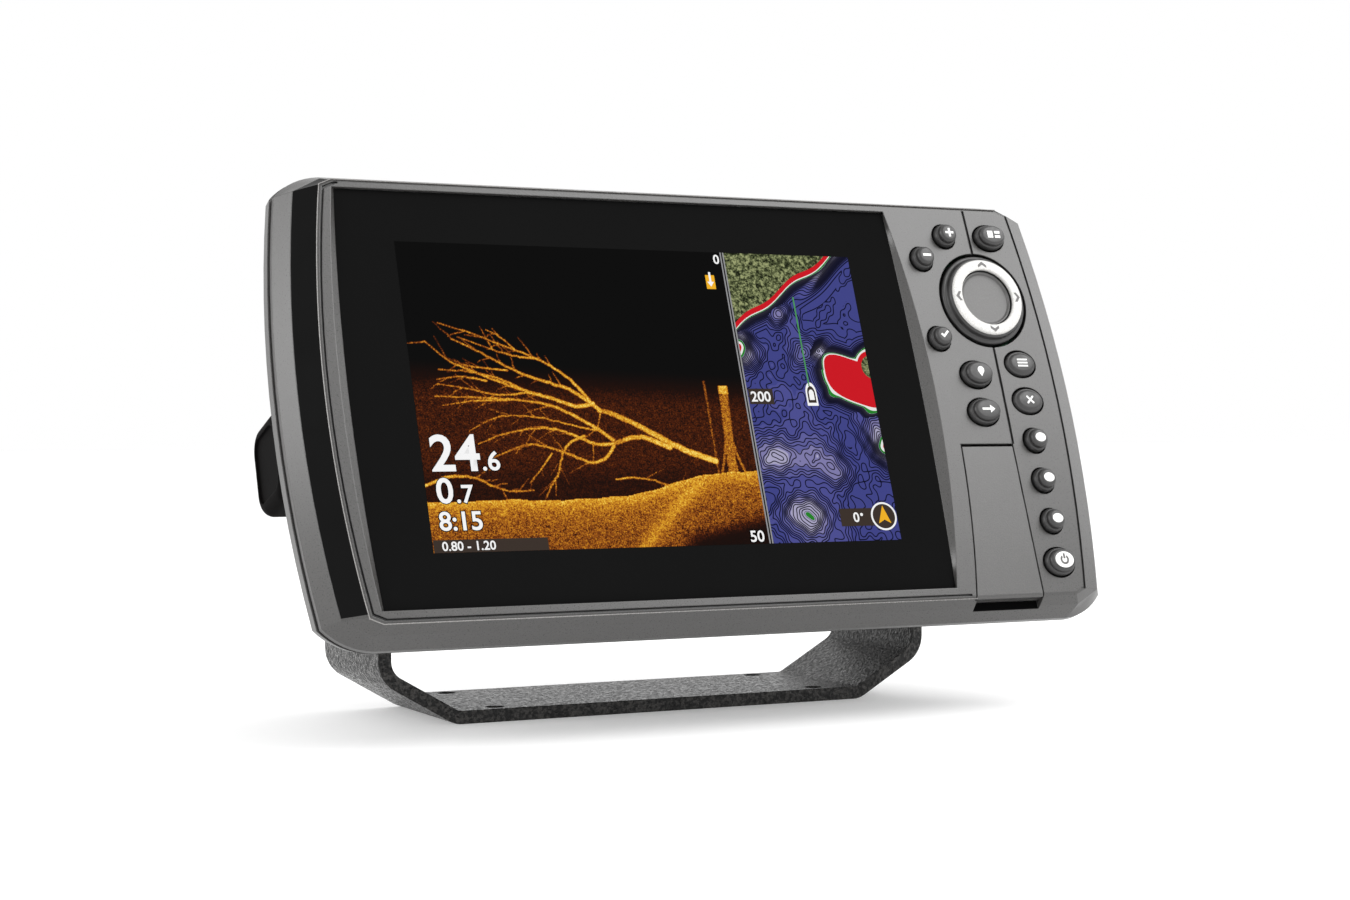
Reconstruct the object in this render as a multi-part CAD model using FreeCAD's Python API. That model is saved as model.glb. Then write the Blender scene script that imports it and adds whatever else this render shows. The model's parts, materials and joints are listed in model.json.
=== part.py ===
"""Marine fish finder: a tilting display head with a keypad, held in a bent-strap gimbal bracket.

The row frame is in millimetres, +X to the right of someone facing the screen, +Y away from them and +Z up.
Its origin is the centre of the bracket's base, on the surface that the bracket stands on.
The head is designed upright in its own frame, then leaned back about the knobs' axis at the end.
In the head frame X is across, Z is up from the middle of the display and Y runs back from the cover glass.
"""
import FreeCAD, Part
import math
import os

V = FreeCAD.Vector
ACROSS = V(1, 0, 0)
BACK = V(0, 1, 0)
UP = V(0, 0, 1)

# --- bracket ---
STRAP = 4.06                # thickness of the bent strap
BRACKET_DEPTH = 52.0        # width of the strap, front to back
BASE_BEND_X = 69.6          # where the flat base starts to rise
ARM_IN_X = 90.95            # inner face of each arm
ARM_BEND_Z = 16.5           # where the slope meets the arm, inside
PIVOT_Z = 78.6              # knob axis above the surface
BASE_HOLE_X = 56.1
BASE_HOLE_Y = 21.05
BASE_HOLE_R = 3.0
PIVOT_HOLE_R = 3.3
LOW_BEND_R = 4.0
HIGH_BEND_R = 6.0

# --- pose and pivot of the head ---
LEAN = 19.68                # degrees that the head leans back at rest
PIVOT_Y = 66.0              # knob axis behind the cover glass
PIVOT_HEAD_Z = 2.0          # knob axis above the middle of the display

# --- front casing: (y, half width mid, half width at ends, bottom, top, corner x, corner z, corner bulge)
PANEL_Y = -1.3
FACET_Y = 2.2
RIM_Y = 7.4
CASE_SPLIT_Y = 9.4
PANEL = (PANEL_Y, 122.6, 117.4, -66.4, 65.0, 3.6, 1.6, 0.0)
FACET = (FACET_Y, 129.7, 124.6, -69.0, 66.9, 8.5, 4.5, 0.0)
RIM = (RIM_Y, 133.6, 128.6, -72.0, 69.8, 14.0, 7.0, 0.10)
RIM_BACK = (CASE_SPLIT_Y,) + RIM[1:]
HOLLOW_Y = 4.3              # back of the front wall
HOLLOW_FRONT = (HOLLOW_Y, 127.4, 122.4, -66.6, 64.6, 9.0, 5.0, 0.0)
HOLLOW_BACK = (CASE_SPLIT_Y + 0.1, 130.6, 125.6, -69.0, 66.8, 13.0, 6.5, 0.0)
EDGE_BEVEL = 0.5
EDGE_GROOVE = (0.55, 1.15)  # from the panel's edge to the two sides of its shadow line
EDGE_GROOVE_DEPTH = 0.8
TRIM_TOP_X = -114.2         # where the trim strip ends, at the cut corner's top
TRIM_LOW_Z = -63.8

# --- window: (y, left end, left mid, right end, right mid, bottom, top)
WINDOW_MOUTH = (PANEL_Y - 0.5, -114.5, -119.3, 69.9, 78.2, -63.1, 62.8)
GLASS_SHAPE = (-113.0, -115.7, 70.3, 72.1, -63.1, 62.8)
GLASS_T = 2.0
ADHESIVE_T = 0.3
DISPLAY_X = -21.2           # middle of the display
DISPLAY_W = 151.0
DISPLAY_H = 93.8

# --- rear casing ---
GASKET_T = 0.8
GASKET_SET_IN = 1.2
LIP_Y = 14.0
LIP = (134.1, 129.1, -70.7, 70.0, 14.0, 7.0, 0.10)
FLANGE_Y = 30.0
FLANGE = (126.0, 121.0, -64.2, 63.0, 13.0, 7.5, 0.10)
REAR_Y = 88.0
WALL = 2.5
BODY_X = 87.0
BODY_RIM = 3.0              # how far the rear housing's rim laps inside the flange
BODY_RIM_Y = 25.0
FIN_XS = range(-60, 61, 10)
EAR_X = 89.2
EAR_R = 16.0

# --- keypad ---
CURSOR = (101.6, 32.65)
CURSOR_WELL_R = 16.4
CURSOR_PAD_R = 15.5
CURSOR_TOP_Y = -4.6
CURSOR_PIVOT_Y = 4.6
CURSOR_CONTACTS = ((12, 0), (-12, 0), (0, 12), (0, -12))
RING_OUT_R = 13.03
RING_IN_R = 9.57
CROSS_R = 1.0
ROUND_R = 4.4
BUTTONS = {                 # name: (x, z, half width, half height, how far it stands out)
    "plus": (91.3, 54.7, ROUND_R, ROUND_R, 3.8),
    "minus": (81.0, 46.45, ROUND_R, ROUND_R, 3.8),
    "view": (108.6, 54.7, 6.1, 4.8, 3.6),
    "check": (81.7, 18.9, ROUND_R, ROUND_R, 3.8),
    "mark": (92.8, 6.7, 6.1, 4.9, 3.4),
    "goto": (92.8, -6.0, 6.1, 4.9, 3.4),
    "menu": (110.7, 10.5, 6.1, 4.8, 1.6),
    "exit": (110.7, -2.2, 6.1, 4.8, 1.6),
    "preset_1": (110.0, -15.7, ROUND_R, ROUND_R, 3.8),
    "preset_2": (110.0, -29.15, ROUND_R, ROUND_R, 3.8),
    "preset_3": (110.0, -42.7, ROUND_R, ROUND_R, 3.8),
    "power": (109.6, -56.2, 6.0, 5.0, 3.2),
}
CAP_GAP = 0.35
CAP_FLANGE = 0.9
BOARD_FRONT_Y = 7.6
DOME_H = 0.5

# --- card door ---
DOOR_TOP_Z = -16.6
DOOR_EDGE = ((81.8, -16.6), (80.2, -40.6), (76.2, -67.2))
DOOR_RIGHT_X = 101.6
DOOR_BACK_Y = 0.9
DOOR_SEAT_Y = 1.6
DOOR_GAP = 0.4
DOOR_TOP_GAP = 0.9
DOOR_NOTCH = (77.0, DOOR_RIGHT_X, -2.0, 3.4, -71.5, -67.0)
DOOR_PIN_Z = -19.1
DOOR_PIN_Y = 0.4
DOOR_PIN_R = 0.6
BAY = (83.6, 99.6, -60.0, -26.0)
BAY_DEPTH_Y = 8.9

# --- fixings ---
CASE_SCREWS = ((119, 46), (-119, 46), (119, -49), (-119, -49), (45, 59.5), (-45, 59.5), (45, -61), (-45, -61))
BOARD_POSTS = ((66, 30), (-66, 30), (66, -34), (-66, -34))
MAIN_BOARD_Y = 34.0
SONAR_BOARD_Y = 58.0
BOARD_T = 1.6

# --- sockets on the back: name, x, body radius, bore radius, contacts
SOCKET_Z = -16.0
SOCKETS = (
    ("power_socket", -46.0, 9.0, 6.6, 4),
    ("sonar_socket", -16.0, 10.0, 7.6, 7),
    ("network_socket", 14.0, 8.5, 6.2, 5),
)
SOCKET_END_Y = 97.0
SOCKET_FLOOR_Y = 86.0

# --- knobs and washers (distances along X from the middle) ---
KNOB_OUT_X = 121.3
KNOB_HALF = 14.3            # half width of the rounded square grip
KNOB_CORNER = 8.2
KNOB_EDGE = 3.6             # rounding of the grip's outer edge
KNOB_GRIP_X = 99.5
KNOB_DISH = 0.7             # depth of the recess in the grip's outer face
KNOB_NECK_R = 8.0
KNOB_BORE_END_X = 107.4
KNOB_IN_X = 96.4
WASHER_X = 95.1
WASHER_T = 1.2
STUD_R = 2.95
STUD_END_X = 80.0
STUD_CLEARANCE = 0.08
INSERT_R = 4.5
INSERT_BORE_R = 3.0


def fused(shapes):
    """Join solids into one and drop the seams between them."""
    first = shapes[0]
    return first.multiFuse(shapes[1:]).removeSplitter() if len(shapes) > 1 else first


def box(x0, x1, y0, y1, z0, z1):
    return Part.makeBox(x1 - x0, y1 - y0, z1 - z0, V(x0, y0, z0))


def rod(radius, y0, y1, x, z):
    """A cylinder along the head's depth."""
    return Part.makeCylinder(radius, y1 - y0, V(x, y0, z), BACK)


def cross_rod(radius, x0, x1, y, z):
    """A cylinder along the head's width."""
    return Part.makeCylinder(radius, x1 - x0, V(x0, y, z), ACROSS)


def tube(outer, inner, y0, y1, x, z):
    return rod(outer, y0, y1, x, z).cut(rod(inner, y0 - 1, y1 + 1, x, z))


def corner(start, end, bulge):
    """A cut corner, either straight or bowed outwards by a share of its length."""
    if bulge == 0:
        return Part.LineSegment(start, end)
    chord = end - start
    out = chord.cross(BACK)
    out.normalize()
    middle = (start + end) * 0.5
    if out.dot(V(middle.x, 0, middle.z)) < 0:
        out = out * -1
    return Part.Arc(start, middle + out * (bulge * chord.Length), end)


def outline(y, half_mid, half_end, bottom, top, cut_x, cut_z, bulge):
    """The casing's outline at one depth: straight top and bottom, bowed sides and cut corners."""
    low, high, middle = bottom + cut_z, top - cut_z, (bottom + top) / 2
    inset = half_end - cut_x
    right_low, right_high = V(half_end, y, low), V(half_end, y, high)
    left_low, left_high = V(-half_end, y, low), V(-half_end, y, high)
    top_right, top_left = V(inset, y, top), V(-inset, y, top)
    base_right, base_left = V(inset, y, bottom), V(-inset, y, bottom)
    edges = [
        Part.Arc(right_low, V(half_mid, y, middle), right_high),
        corner(right_high, top_right, bulge),
        Part.LineSegment(top_right, top_left),
        corner(top_left, left_high, bulge),
        Part.Arc(left_high, V(-half_mid, y, middle), left_low),
        corner(left_low, base_left, bulge),
        Part.LineSegment(base_left, base_right),
        corner(base_right, right_low, bulge),
    ]
    return Part.Wire([edge.toShape() for edge in edges])


def outline_prism(section, y0, y1, grow=0.0):
    _, half_mid, half_end, bottom, top, cut_x, cut_z, bulge = section
    wire = outline(y0, half_mid + grow, half_end + grow, bottom - grow, top + grow, cut_x, cut_z, bulge)
    return Part.Face(wire).extrude(V(0, y1 - y0, 0))


def loft(wires):
    return Part.makeLoft(wires, True, True)


def window(y, left_end, left_mid, right_end, right_mid, bottom, top):
    """A rectangle with bowed left and right sides, the shape of the cover glass."""
    middle = (bottom + top) / 2
    corners = [V(right_end, y, bottom), V(right_end, y, top), V(left_end, y, top), V(left_end, y, bottom)]
    edges = [
        Part.Arc(corners[0], V(right_mid, y, middle), corners[1]),
        Part.LineSegment(corners[1], corners[2]),
        Part.Arc(corners[2], V(left_mid, y, middle), corners[3]),
        Part.LineSegment(corners[3], corners[0]),
    ]
    return Part.Wire([edge.toShape() for edge in edges])


def window_prism(y0, y1, grow=0.0):
    left_end, left_mid, right_end, right_mid, bottom, top = GLASS_SHAPE
    shape = (left_end - grow, left_mid - grow, right_end + grow, right_mid + grow, bottom - grow, top + grow)
    return Part.Face(window(y0, *shape)).extrude(V(0, y1 - y0, 0))


def oval(y, x, z, half_w, half_h):
    if abs(half_w - half_h) < 0.01:
        return Part.Wire([Part.makeCircle(half_w, V(x, y, z), BACK)])
    major, minor = V(half_w, 0, 0), V(0, 0, half_h)
    centre = V(x, y, z)
    return Part.Wire([Part.Ellipse(centre + major, centre + minor, centre).toShape()])


def oval_prism(y0, y1, x, z, half_w, half_h):
    return Part.Face(oval(y0, x, z, half_w, half_h)).extrude(V(0, y1 - y0, 0))


def rounded_box(x0, x1, y0, y1, z0, z1, radius):
    """A box whose four edges along Y are rounded."""
    shape = box(x0, x1, y0, y1, z0, z1)
    edges = [e for e in shape.Edges if abs(e.Vertexes[0].Y - e.Vertexes[1].Y) > 0.01]
    return shape.makeFillet(radius, edges)


# ---------------------------------------------------------------- bracket

def bracket_profile(grow):
    """Half profile of the strap's inner side (grow = 0) or outer side (grow = strap thickness)."""
    slope = math.atan2(ARM_BEND_Z - STRAP, ARM_IN_X - BASE_BEND_X)
    low_shift = grow * math.tan(slope / 2)
    high_shift = grow * math.tan((math.pi / 2 - slope) / 2)
    return [
        V(BASE_BEND_X + low_shift, 0, STRAP - grow),
        V(ARM_IN_X + grow, 0, ARM_BEND_Z - high_shift),
        V(ARM_IN_X + grow, 0, PIVOT_Z + BRACKET_DEPTH / 2),
    ]


def mirrored(points):
    return [V(-p.x, p.y, p.z) for p in reversed(points)]


def gimbal_bracket():
    inner, outer = bracket_profile(0), bracket_profile(STRAP)
    loop = mirrored(outer) + outer + list(reversed(inner)) + [V(-p.x, p.y, p.z) for p in inner]
    half = BRACKET_DEPTH / 2
    face = Part.Face(Part.makePolygon([p - V(0, half, 0) for p in loop + loop[:1]]))
    strap = face.extrude(V(0, BRACKET_DEPTH, 0))
    for points, extra in ((inner, 0), (outer, STRAP)):
        for point, radius in ((points[0], LOW_BEND_R + extra), (points[1], HIGH_BEND_R + extra)):
            bends = [e for e in strap.Edges if is_bend(e, point)]
            strap = strap.makeFillet(radius, bends)
    arch = fused([box(-130, 130, -half, half, -1, PIVOT_Z), cross_rod(half, -130, 130, 0, PIVOT_Z)])
    strap = strap.common(arch)
    holes = [cross_rod(PIVOT_HOLE_R, -130, 130, 0, PIVOT_Z)]
    for x in (-BASE_HOLE_X, BASE_HOLE_X):
        for y in (-BASE_HOLE_Y, BASE_HOLE_Y):
            holes.append(Part.makeCylinder(BASE_HOLE_R, 20, V(x, y, -5), UP))
    return strap.cut(fused(holes))


def is_bend(edge, point):
    """True for the two edges along Y that pass through the point or its mirror image."""
    start, end = edge.Vertexes[0].Point, edge.Vertexes[-1].Point
    along = abs(start.y - end.y) > 1
    return along and abs(abs(start.x) - point.x) < 0.01 and abs(start.z - point.z) < 0.01


# ---------------------------------------------------------------- front casing

def casing_blank():
    """The outside of the front casing as one solid."""
    return loft([outline(*PANEL), outline(*FACET), outline(*RIM), outline(*RIM_BACK)])


def bevelled_panel():
    """The same outside with a small bevel round the edge of the front panel."""
    blank = casing_blank()
    edges = [e for e in blank.Edges if all(abs(v.Y - PANEL_Y) < 0.001 for v in e.Vertexes)]
    return blank.makeChamfer(EDGE_BEVEL, edges)


def side_trim(blank):
    """Gloss strip let into the sloped facet on the left."""
    ring = outline_prism(FACET, -2.5, 3.2, -0.15).cut(outline_prism(PANEL, -3, 4, 0.25))
    layer = blank.cut(blank.translated(V(0, 1.0, 0)))
    reach = box(-140, TRIM_TOP_X, -5, 6, TRIM_LOW_Z, 70)
    return layer.common(ring).common(reach)


def door_outline(y, inset, top):
    """Outline of the card door's opening: a slanted left edge, slightly bowed."""
    (x0, _), (x1, z1), (x2, z2) = DOOR_EDGE
    right = DOOR_RIGHT_X - inset
    edges = [
        Part.Arc(V(x0 + inset, y, top), V(x1 + inset, y, z1), V(x2 + inset, y, z2)),
        Part.LineSegment(V(x2 + inset, y, z2), V(right, y, z2)),
        Part.LineSegment(V(right, y, z2), V(right, y, top)),
        Part.LineSegment(V(right, y, top), V(x0 + inset, y, top)),
    ]
    return Part.Wire([edge.toShape() for edge in edges])


def door_prism(y0, y1, inset=0.0, top=DOOR_TOP_Z):
    return Part.Face(door_outline(y0, inset, top)).extrude(V(0, y1 - y0, 0))


def groove(x_top, x_mid, x_low, z_top, z_low, width, depth):
    """A shallow bowed line cut into the front panel."""
    y = PANEL_Y - 0.5
    z_mid = (z_top + z_low) / 2
    right = Part.Arc(V(x_top + width, y, z_top), V(x_mid + width, y, z_mid), V(x_low + width, y, z_low))
    left = Part.Arc(V(x_low, y, z_low), V(x_mid, y, z_mid), V(x_top, y, z_top))
    ends = [
        Part.LineSegment(V(x_low + width, y, z_low), V(x_low, y, z_low)),
        Part.LineSegment(V(x_top, y, z_top), V(x_top + width, y, z_top)),
    ]
    wire = Part.Wire([right.toShape(), ends[0].toShape(), left.toShape(), ends[1].toShape()])
    return Part.Face(wire).extrude(V(0, 0.5 + depth, 0))


def edge_grooves():
    """Lines round the front panel: at its very edge on the right, just inside it on the left and below."""
    depth_y = PANEL_Y + EDGE_GROOVE_DEPTH
    right = outline_prism(PANEL, -3, depth_y, 0.35).cut(outline_prism(PANEL, -4, 3, -0.45))
    near, far = EDGE_GROOVE
    rest = outline_prism(PANEL, -3, depth_y, -near).cut(outline_prism(PANEL, -4, 3, -far))
    left = rest.common(box(-130, -112.0, -5, 5, -70, 70))
    below = rest.common(box(-114.0, 75.0, -5, 5, -70, -60))
    return [right.common(box(112.6, 130, -5, 5, -64.9, 66)), left, below]


def front_bezel(outside, trim):
    tools = [loft([outline(*HOLLOW_FRONT), outline(*HOLLOW_BACK)])]
    tools.append(loft([window(*WINDOW_MOUTH), window(0.0, *GLASS_SHAPE)]))
    tools.append(window_prism(-0.01, GLASS_T + ADHESIVE_T, 0.1))
    half_w, half_h = DISPLAY_W / 2 + 3.0, DISPLAY_H / 2 + 3.0
    tools.append(box(DISPLAY_X - half_w, DISPLAY_X + half_w, 1, 6, -half_h, half_h))
    tools += [oval_prism(-3, 6, x, z, half_w, half_h) for x, z, half_w, half_h, _ in BUTTONS.values()]
    tools.append(rod(CURSOR_WELL_R, -3, 6, *CURSOR))
    tools.append(groove(100.3, 101.4, 101.3, 64.3, DOOR_TOP_Z, 0.8, 0.7))
    tools += edge_grooves()
    tools.append(door_prism(-3, DOOR_SEAT_Y))
    tools.append(cross_rod(2.55, 81.8, DOOR_RIGHT_X, DOOR_PIN_Y, DOOR_PIN_Z))
    tools.append(cross_rod(DOOR_PIN_R, 79.5, 103.6, DOOR_PIN_Y, DOOR_PIN_Z))
    tools.append(box(*DOOR_NOTCH))
    tools.append(trim)
    shell = outside
    for tool in tools:
        shell = shell.cut(tool)
    x0, x1, z0, z1 = BAY
    tub = box(x0 - 1.2, x1 + 1.2, HOLLOW_Y - 0.5, CASE_SPLIT_Y, z0 - 1.2, z1 + 1.2)
    bosses = [rod(3.8, HOLLOW_Y - 0.5, CASE_SPLIT_Y, x, z) for x, z in CASE_SCREWS]
    shell = fused([shell, tub] + bosses)
    shell = shell.cut(box(x0, x1, 0, 10, z0, z1))
    for x, z in CASE_SCREWS:
        shell = shell.cut(rod(1.25, 2.6, 12, x, z))
    return shell


def cover_glass():
    return window_prism(0.0, GLASS_T)


def glass_adhesive():
    half_w, half_h = DISPLAY_W / 2 + 5.0, DISPLAY_H / 2 + 5.0
    hole = box(DISPLAY_X - half_w, DISPLAY_X + half_w, 0, 6, -half_h, half_h)
    return window_prism(GLASS_T, GLASS_T + ADHESIVE_T, -0.6).cut(hole)


def slab(width, height, y0, y1):
    """A plate centred behind the display."""
    return box(DISPLAY_X - width / 2, DISPLAY_X + width / 2, y0, y1, -height / 2, height / 2)


def lcd_frame():
    tray = slab(167.0, 107.0, 4.4, 12.0).cut(slab(165.4, 105.4, 4.3, 11.2)).cut(slab(120, 70, 10, 13))
    tabs = []
    for x in (DISPLAY_X - 45, DISPLAY_X + 45):
        for z0 in (-58.5, 53.4):
            tabs.append(box(x - 6, x + 6, 10.6, 12.0, z0, z0 + 5.1))
    return fused([tray] + tabs)


def display_ribbon():
    """Flat flexible cable, from the foot of the display, back and up to the main board."""
    runs = [
        box(-34, -10, 6.9, 22.4, -54.9, -54.5),
        box(-34, -10, 22.0, 22.4, -54.5, -38.4),
        box(-34, -10, 22.4, MAIN_BOARD_Y, -38.8, -38.4),
    ]
    return fused(runs)


# ---------------------------------------------------------------- keypad

def button_cap(x, z, half_w, half_h, proud):
    """Stepped rubber cap with a flange behind the panel and a plunger over its switch."""
    front = PANEL_Y - proud
    skirt_y = PANEL_Y - proud * 0.45
    wide, high = half_w - CAP_GAP, half_h - CAP_GAP
    pieces = [
        loft([oval(skirt_y, x, z, wide - 0.5, high - 0.5), oval(skirt_y + 0.8, x, z, wide, high)]),
        oval_prism(skirt_y + 0.8, 4.7, x, z, wide, high),
        loft([oval(front, x, z, wide - 1.7, high - 1.7), oval(front + 0.5, x, z, wide - 1.2, high - 1.2)]),
        oval_prism(front + 0.5, skirt_y, x, z, wide - 1.2, high - 1.2),
        oval_prism(4.6, 5.5, x, z, half_w + CAP_FLANGE, half_h + CAP_FLANGE),
        rod(1.5, 5.5, 6.0, x, z),
    ]
    return fused(pieces)


def board_area(margin, y0, y1):
    """The keypad board's outline: clear of the card bay and the casing's screw bosses."""
    shape = box(78.0 + margin, 115.5 - margin, y0, y1, -63.0 + margin, 62.0 - margin)
    return shape.cut(box(70, 103.4 + margin, y0 - 1, y1 + 1, -70, -21.0 + margin))


def keypad_mat():
    mat = board_area(0.3, 4.4, 5.5)
    for x, z, half_w, half_h, _ in BUTTONS.values():
        grow = CAP_FLANGE + 0.4
        mat = mat.cut(oval_prism(4, 6, x, z, half_w + grow, half_h + grow))
    return largest(mat.cut(rod(CURSOR_WELL_R + 0.4, 4, 6, *CURSOR)))


def largest(shape):
    """The biggest solid of a shape, without the slivers that a cut leaves at its edges."""
    return max(shape.Solids, key=lambda solid: solid.Volume)


def keypad_board():
    board = board_area(0, BOARD_FRONT_Y, BOARD_FRONT_Y + BOARD_T)
    for x, z in ((80.5, 59.5), (80.5, -18.6), (105.8, -60.6)):
        board = board.cut(rod(1.1, 5, 12, x, z))
    for x, z in CASE_SCREWS:
        board = board.cut(rod(4.1, 5, 12, x, z))
    return board


def switch_domes():
    """One snap dome per button and four under the cursor pad."""
    spots = [(x, z) for x, z, _, _, _ in BUTTONS.values()]
    spots += [(CURSOR[0] + dx, CURSOR[1] + dz) for dx, dz in CURSOR_CONTACTS]
    top = BOARD_FRONT_Y - DOME_H
    domes = [Part.makeCone(1.6, 2.3, DOME_H, V(x, top, z), BACK) for x, z in spots]
    return Part.Compound(domes)


def cursor_pad():
    """Dark skirt under the ring. Its hub rocks on the gimbal cross and four plungers reach the domes."""
    x, z = CURSOR
    y = CURSOR_PIVOT_Y
    pieces = [
        Part.makeCone(CURSOR_PAD_R - 0.5, CURSOR_PAD_R, 1.2, V(x, -1.8, z), BACK),
        rod(CURSOR_PAD_R, -0.6, 2.0, x, z),
        Part.makeCone(13.3, 14.2, 2.2, V(x, -4.0, z), BACK),
        rod(6.0, 2.0, y + 1.6, x, z),
    ]
    pieces += [rod(1.4, 2.0, 6.0, x + dx, z + dz) for dx, dz in CURSOR_CONTACTS]
    pad = fused(pieces)
    pad = pad.cut(rod(RING_IN_R, -6, -1.8, x, z)).cut(tube(RING_OUT_R, RING_IN_R - 0.5, -6, -3.2, x, z))
    pad = pad.cut(rod(3.0, 2.0, 8, x, z)).cut(cross_rod(CROSS_R + 0.05, x - 8, x + 8, y, z))
    return pad.cut(box(x - 1.6, x + 1.6, y - 1.6, y + 3, z - 8, z + 8))


def cursor_ring():
    """White ring on the cursor pad, slightly crowned."""
    x, z = CURSOR
    crown = Part.makeCone(RING_OUT_R - 0.4, RING_OUT_R, 0.4, V(x, CURSOR_TOP_Y, z), BACK)
    ring = fused([crown, rod(RING_OUT_R, CURSOR_TOP_Y + 0.4, -3.2, x, z)])
    return ring.cut(rod(RING_IN_R, -7, 0, x, z))


def cursor_centre():
    """Dished cap in the middle of the ring."""
    x, z = CURSOR
    dish = Part.makeSphere(60.0, V(x, -3.2 - 59.4, z))
    return rod(9.35, -3.2, -1.8, x, z).cut(dish)


def cursor_cross():
    """Gimbal cross: its upright pin turns in the yoke, and the pad's hub turns on the pin across it."""
    x, z = CURSOR
    y = CURSOR_PIVOT_Y
    upright = Part.makeCylinder(CROSS_R, 17.0, V(x, y, z - 8.5), UP)
    return fused([upright, cross_rod(CROSS_R, x - 5.8, x + 5.8, y, z), rod(2.2, y - 1.4, y + 1.4, x, z)])


def cursor_yoke():
    """Two ears on the keypad board that hold the cross's upright pin."""
    x, z = CURSOR
    foot = box(x - 2.5, x + 2.5, BOARD_FRONT_Y - 0.5, BOARD_FRONT_Y, z - 8.6, z + 8.6)
    ears = [box(x - 2.2, x + 2.2, 3.0, BOARD_FRONT_Y, z + low, z + low + 1.7) for low in (-8.6, 6.9)]
    hole = Part.makeCylinder(CROSS_R + 0.05, 20.0, V(x, CURSOR_PIVOT_Y, z - 10), UP)
    return fused([foot] + ears).cut(hole)


# ---------------------------------------------------------------- card door

def card_door(blank):
    top = DOOR_TOP_Z - DOOR_TOP_GAP
    plate = blank.common(door_prism(-3, DOOR_BACK_Y, DOOR_GAP, top)).cut(box(70, 110, -5, 5, -75, -66.9))
    barrel = cross_rod(1.35, 82.4, DOOR_RIGHT_X - 0.4, DOOR_PIN_Y, DOOR_PIN_Z)
    return fused([plate, barrel]).cut(cross_rod(DOOR_PIN_R + 0.05, 70, 110, DOOR_PIN_Y, DOOR_PIN_Z))


def card_door_pin():
    return cross_rod(DOOR_PIN_R, 80.2, 102.9, DOOR_PIN_Y, DOOR_PIN_Z)


def card_door_seal():
    x0, x1, z0, z1 = BAY
    outer = rounded_box(x0 - 1.1, x1 + 1.1, DOOR_BACK_Y, DOOR_SEAT_Y - 0.1, z0 - 1.6, z1 + 1.6, 1.5)
    return outer.cut(rounded_box(x0 + 0.1, x1 - 0.1, 0, 3, z0 - 0.4, z1 + 0.4, 1.0))


def card_reader():
    """Twin memory-card reader: its two slots face the card bay."""
    x0, x1, z0, z1 = BAY
    front = BAY_DEPTH_Y
    body = box(x0 + 0.2, x1 - 0.2, front, front + 13.0, z0 + 0.2, z1 - 0.2)
    for z in (-35.5, -50.5):
        body = body.cut(box(85.6, 97.6, front - 1, front + 11.5, z - 0.55, z + 0.55))
        body = body.cut(box(89.4, 93.8, front - 1, front + 1.2, z - 1.6, z + 1.6))
    return body


# ---------------------------------------------------------------- rear casing

def flange_section(y, section, shrink=0.0):
    half_mid, half_end, bottom, top, *corners = section
    return outline(y, half_mid - shrink, half_end - shrink, bottom + shrink, top - shrink, *corners)


def flange_blank(shrink, front):
    """The wide front part of the rear casing, or its hollow when shrunk by the wall thickness."""
    return loft([
        flange_section(front, (134.1, 129.1, -71.9, 70.3, 14.0, 7.0, 0.10), shrink),
        flange_section(LIP_Y, LIP, shrink),
        flange_section(FLANGE_Y - shrink, FLANGE, shrink),
    ])


def rear_flange(housing_outside):
    """Wide tray behind the gasket, with a screw post at each case screw."""
    front = CASE_SPLIT_Y + GASKET_T
    shell = flange_blank(0, front).cut(flange_blank(WALL, front - 0.1))
    posts = [rod(4.2, front, FLANGE_Y - 1, x, z) for x, z in CASE_SCREWS]
    shell = fused([shell] + posts)
    for x, z in CASE_SCREWS:
        shell = shell.cut(rod(1.6, 5, 40, x, z)).cut(rod(3.1, FLANGE_Y - 5.0, 40, x, z))
    return shell.cut(housing_outside)


def body_section(y, half_w, bottom, top):
    points = [V(half_w, y, bottom), V(half_w, y, top), V(-half_w, y, top), V(-half_w, y, bottom)]
    return Part.makePolygon(points + points[:1])


def body_blank(shrink, front, back):
    """The rear housing's outside, or its hollow when shrunk by the wall thickness."""
    return loft([
        body_section(front, BODY_X - shrink, -49 + shrink, 51 - shrink),
        body_section(back - 8, BODY_X - 1.0 - shrink, -43 + shrink, 45 - shrink),
        body_section(back, BODY_X - 8.0 - shrink, -36 + shrink, 38 - shrink),
    ])


def rear_housing_outside():
    rim_x, rim_low, rim_top = BODY_X + BODY_RIM, -49 - BODY_RIM, 51 + BODY_RIM
    rim = box(-rim_x, rim_x, BODY_RIM_Y, FLANGE_Y - WALL, rim_low, rim_top)
    ears = [cross_rod(EAR_R, side * 84.5 - 4.7, side * 84.5 + 4.7, PIVOT_Y, PIVOT_HEAD_Z) for side in (-1, 1)]
    fins = [box(x - 1.1, x + 1.1, 60, REAR_Y + 3.0, 2, 37) for x in FIN_XS]
    return fused([body_blank(0, BODY_RIM_Y, REAR_Y), rim] + ears + fins)


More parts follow.
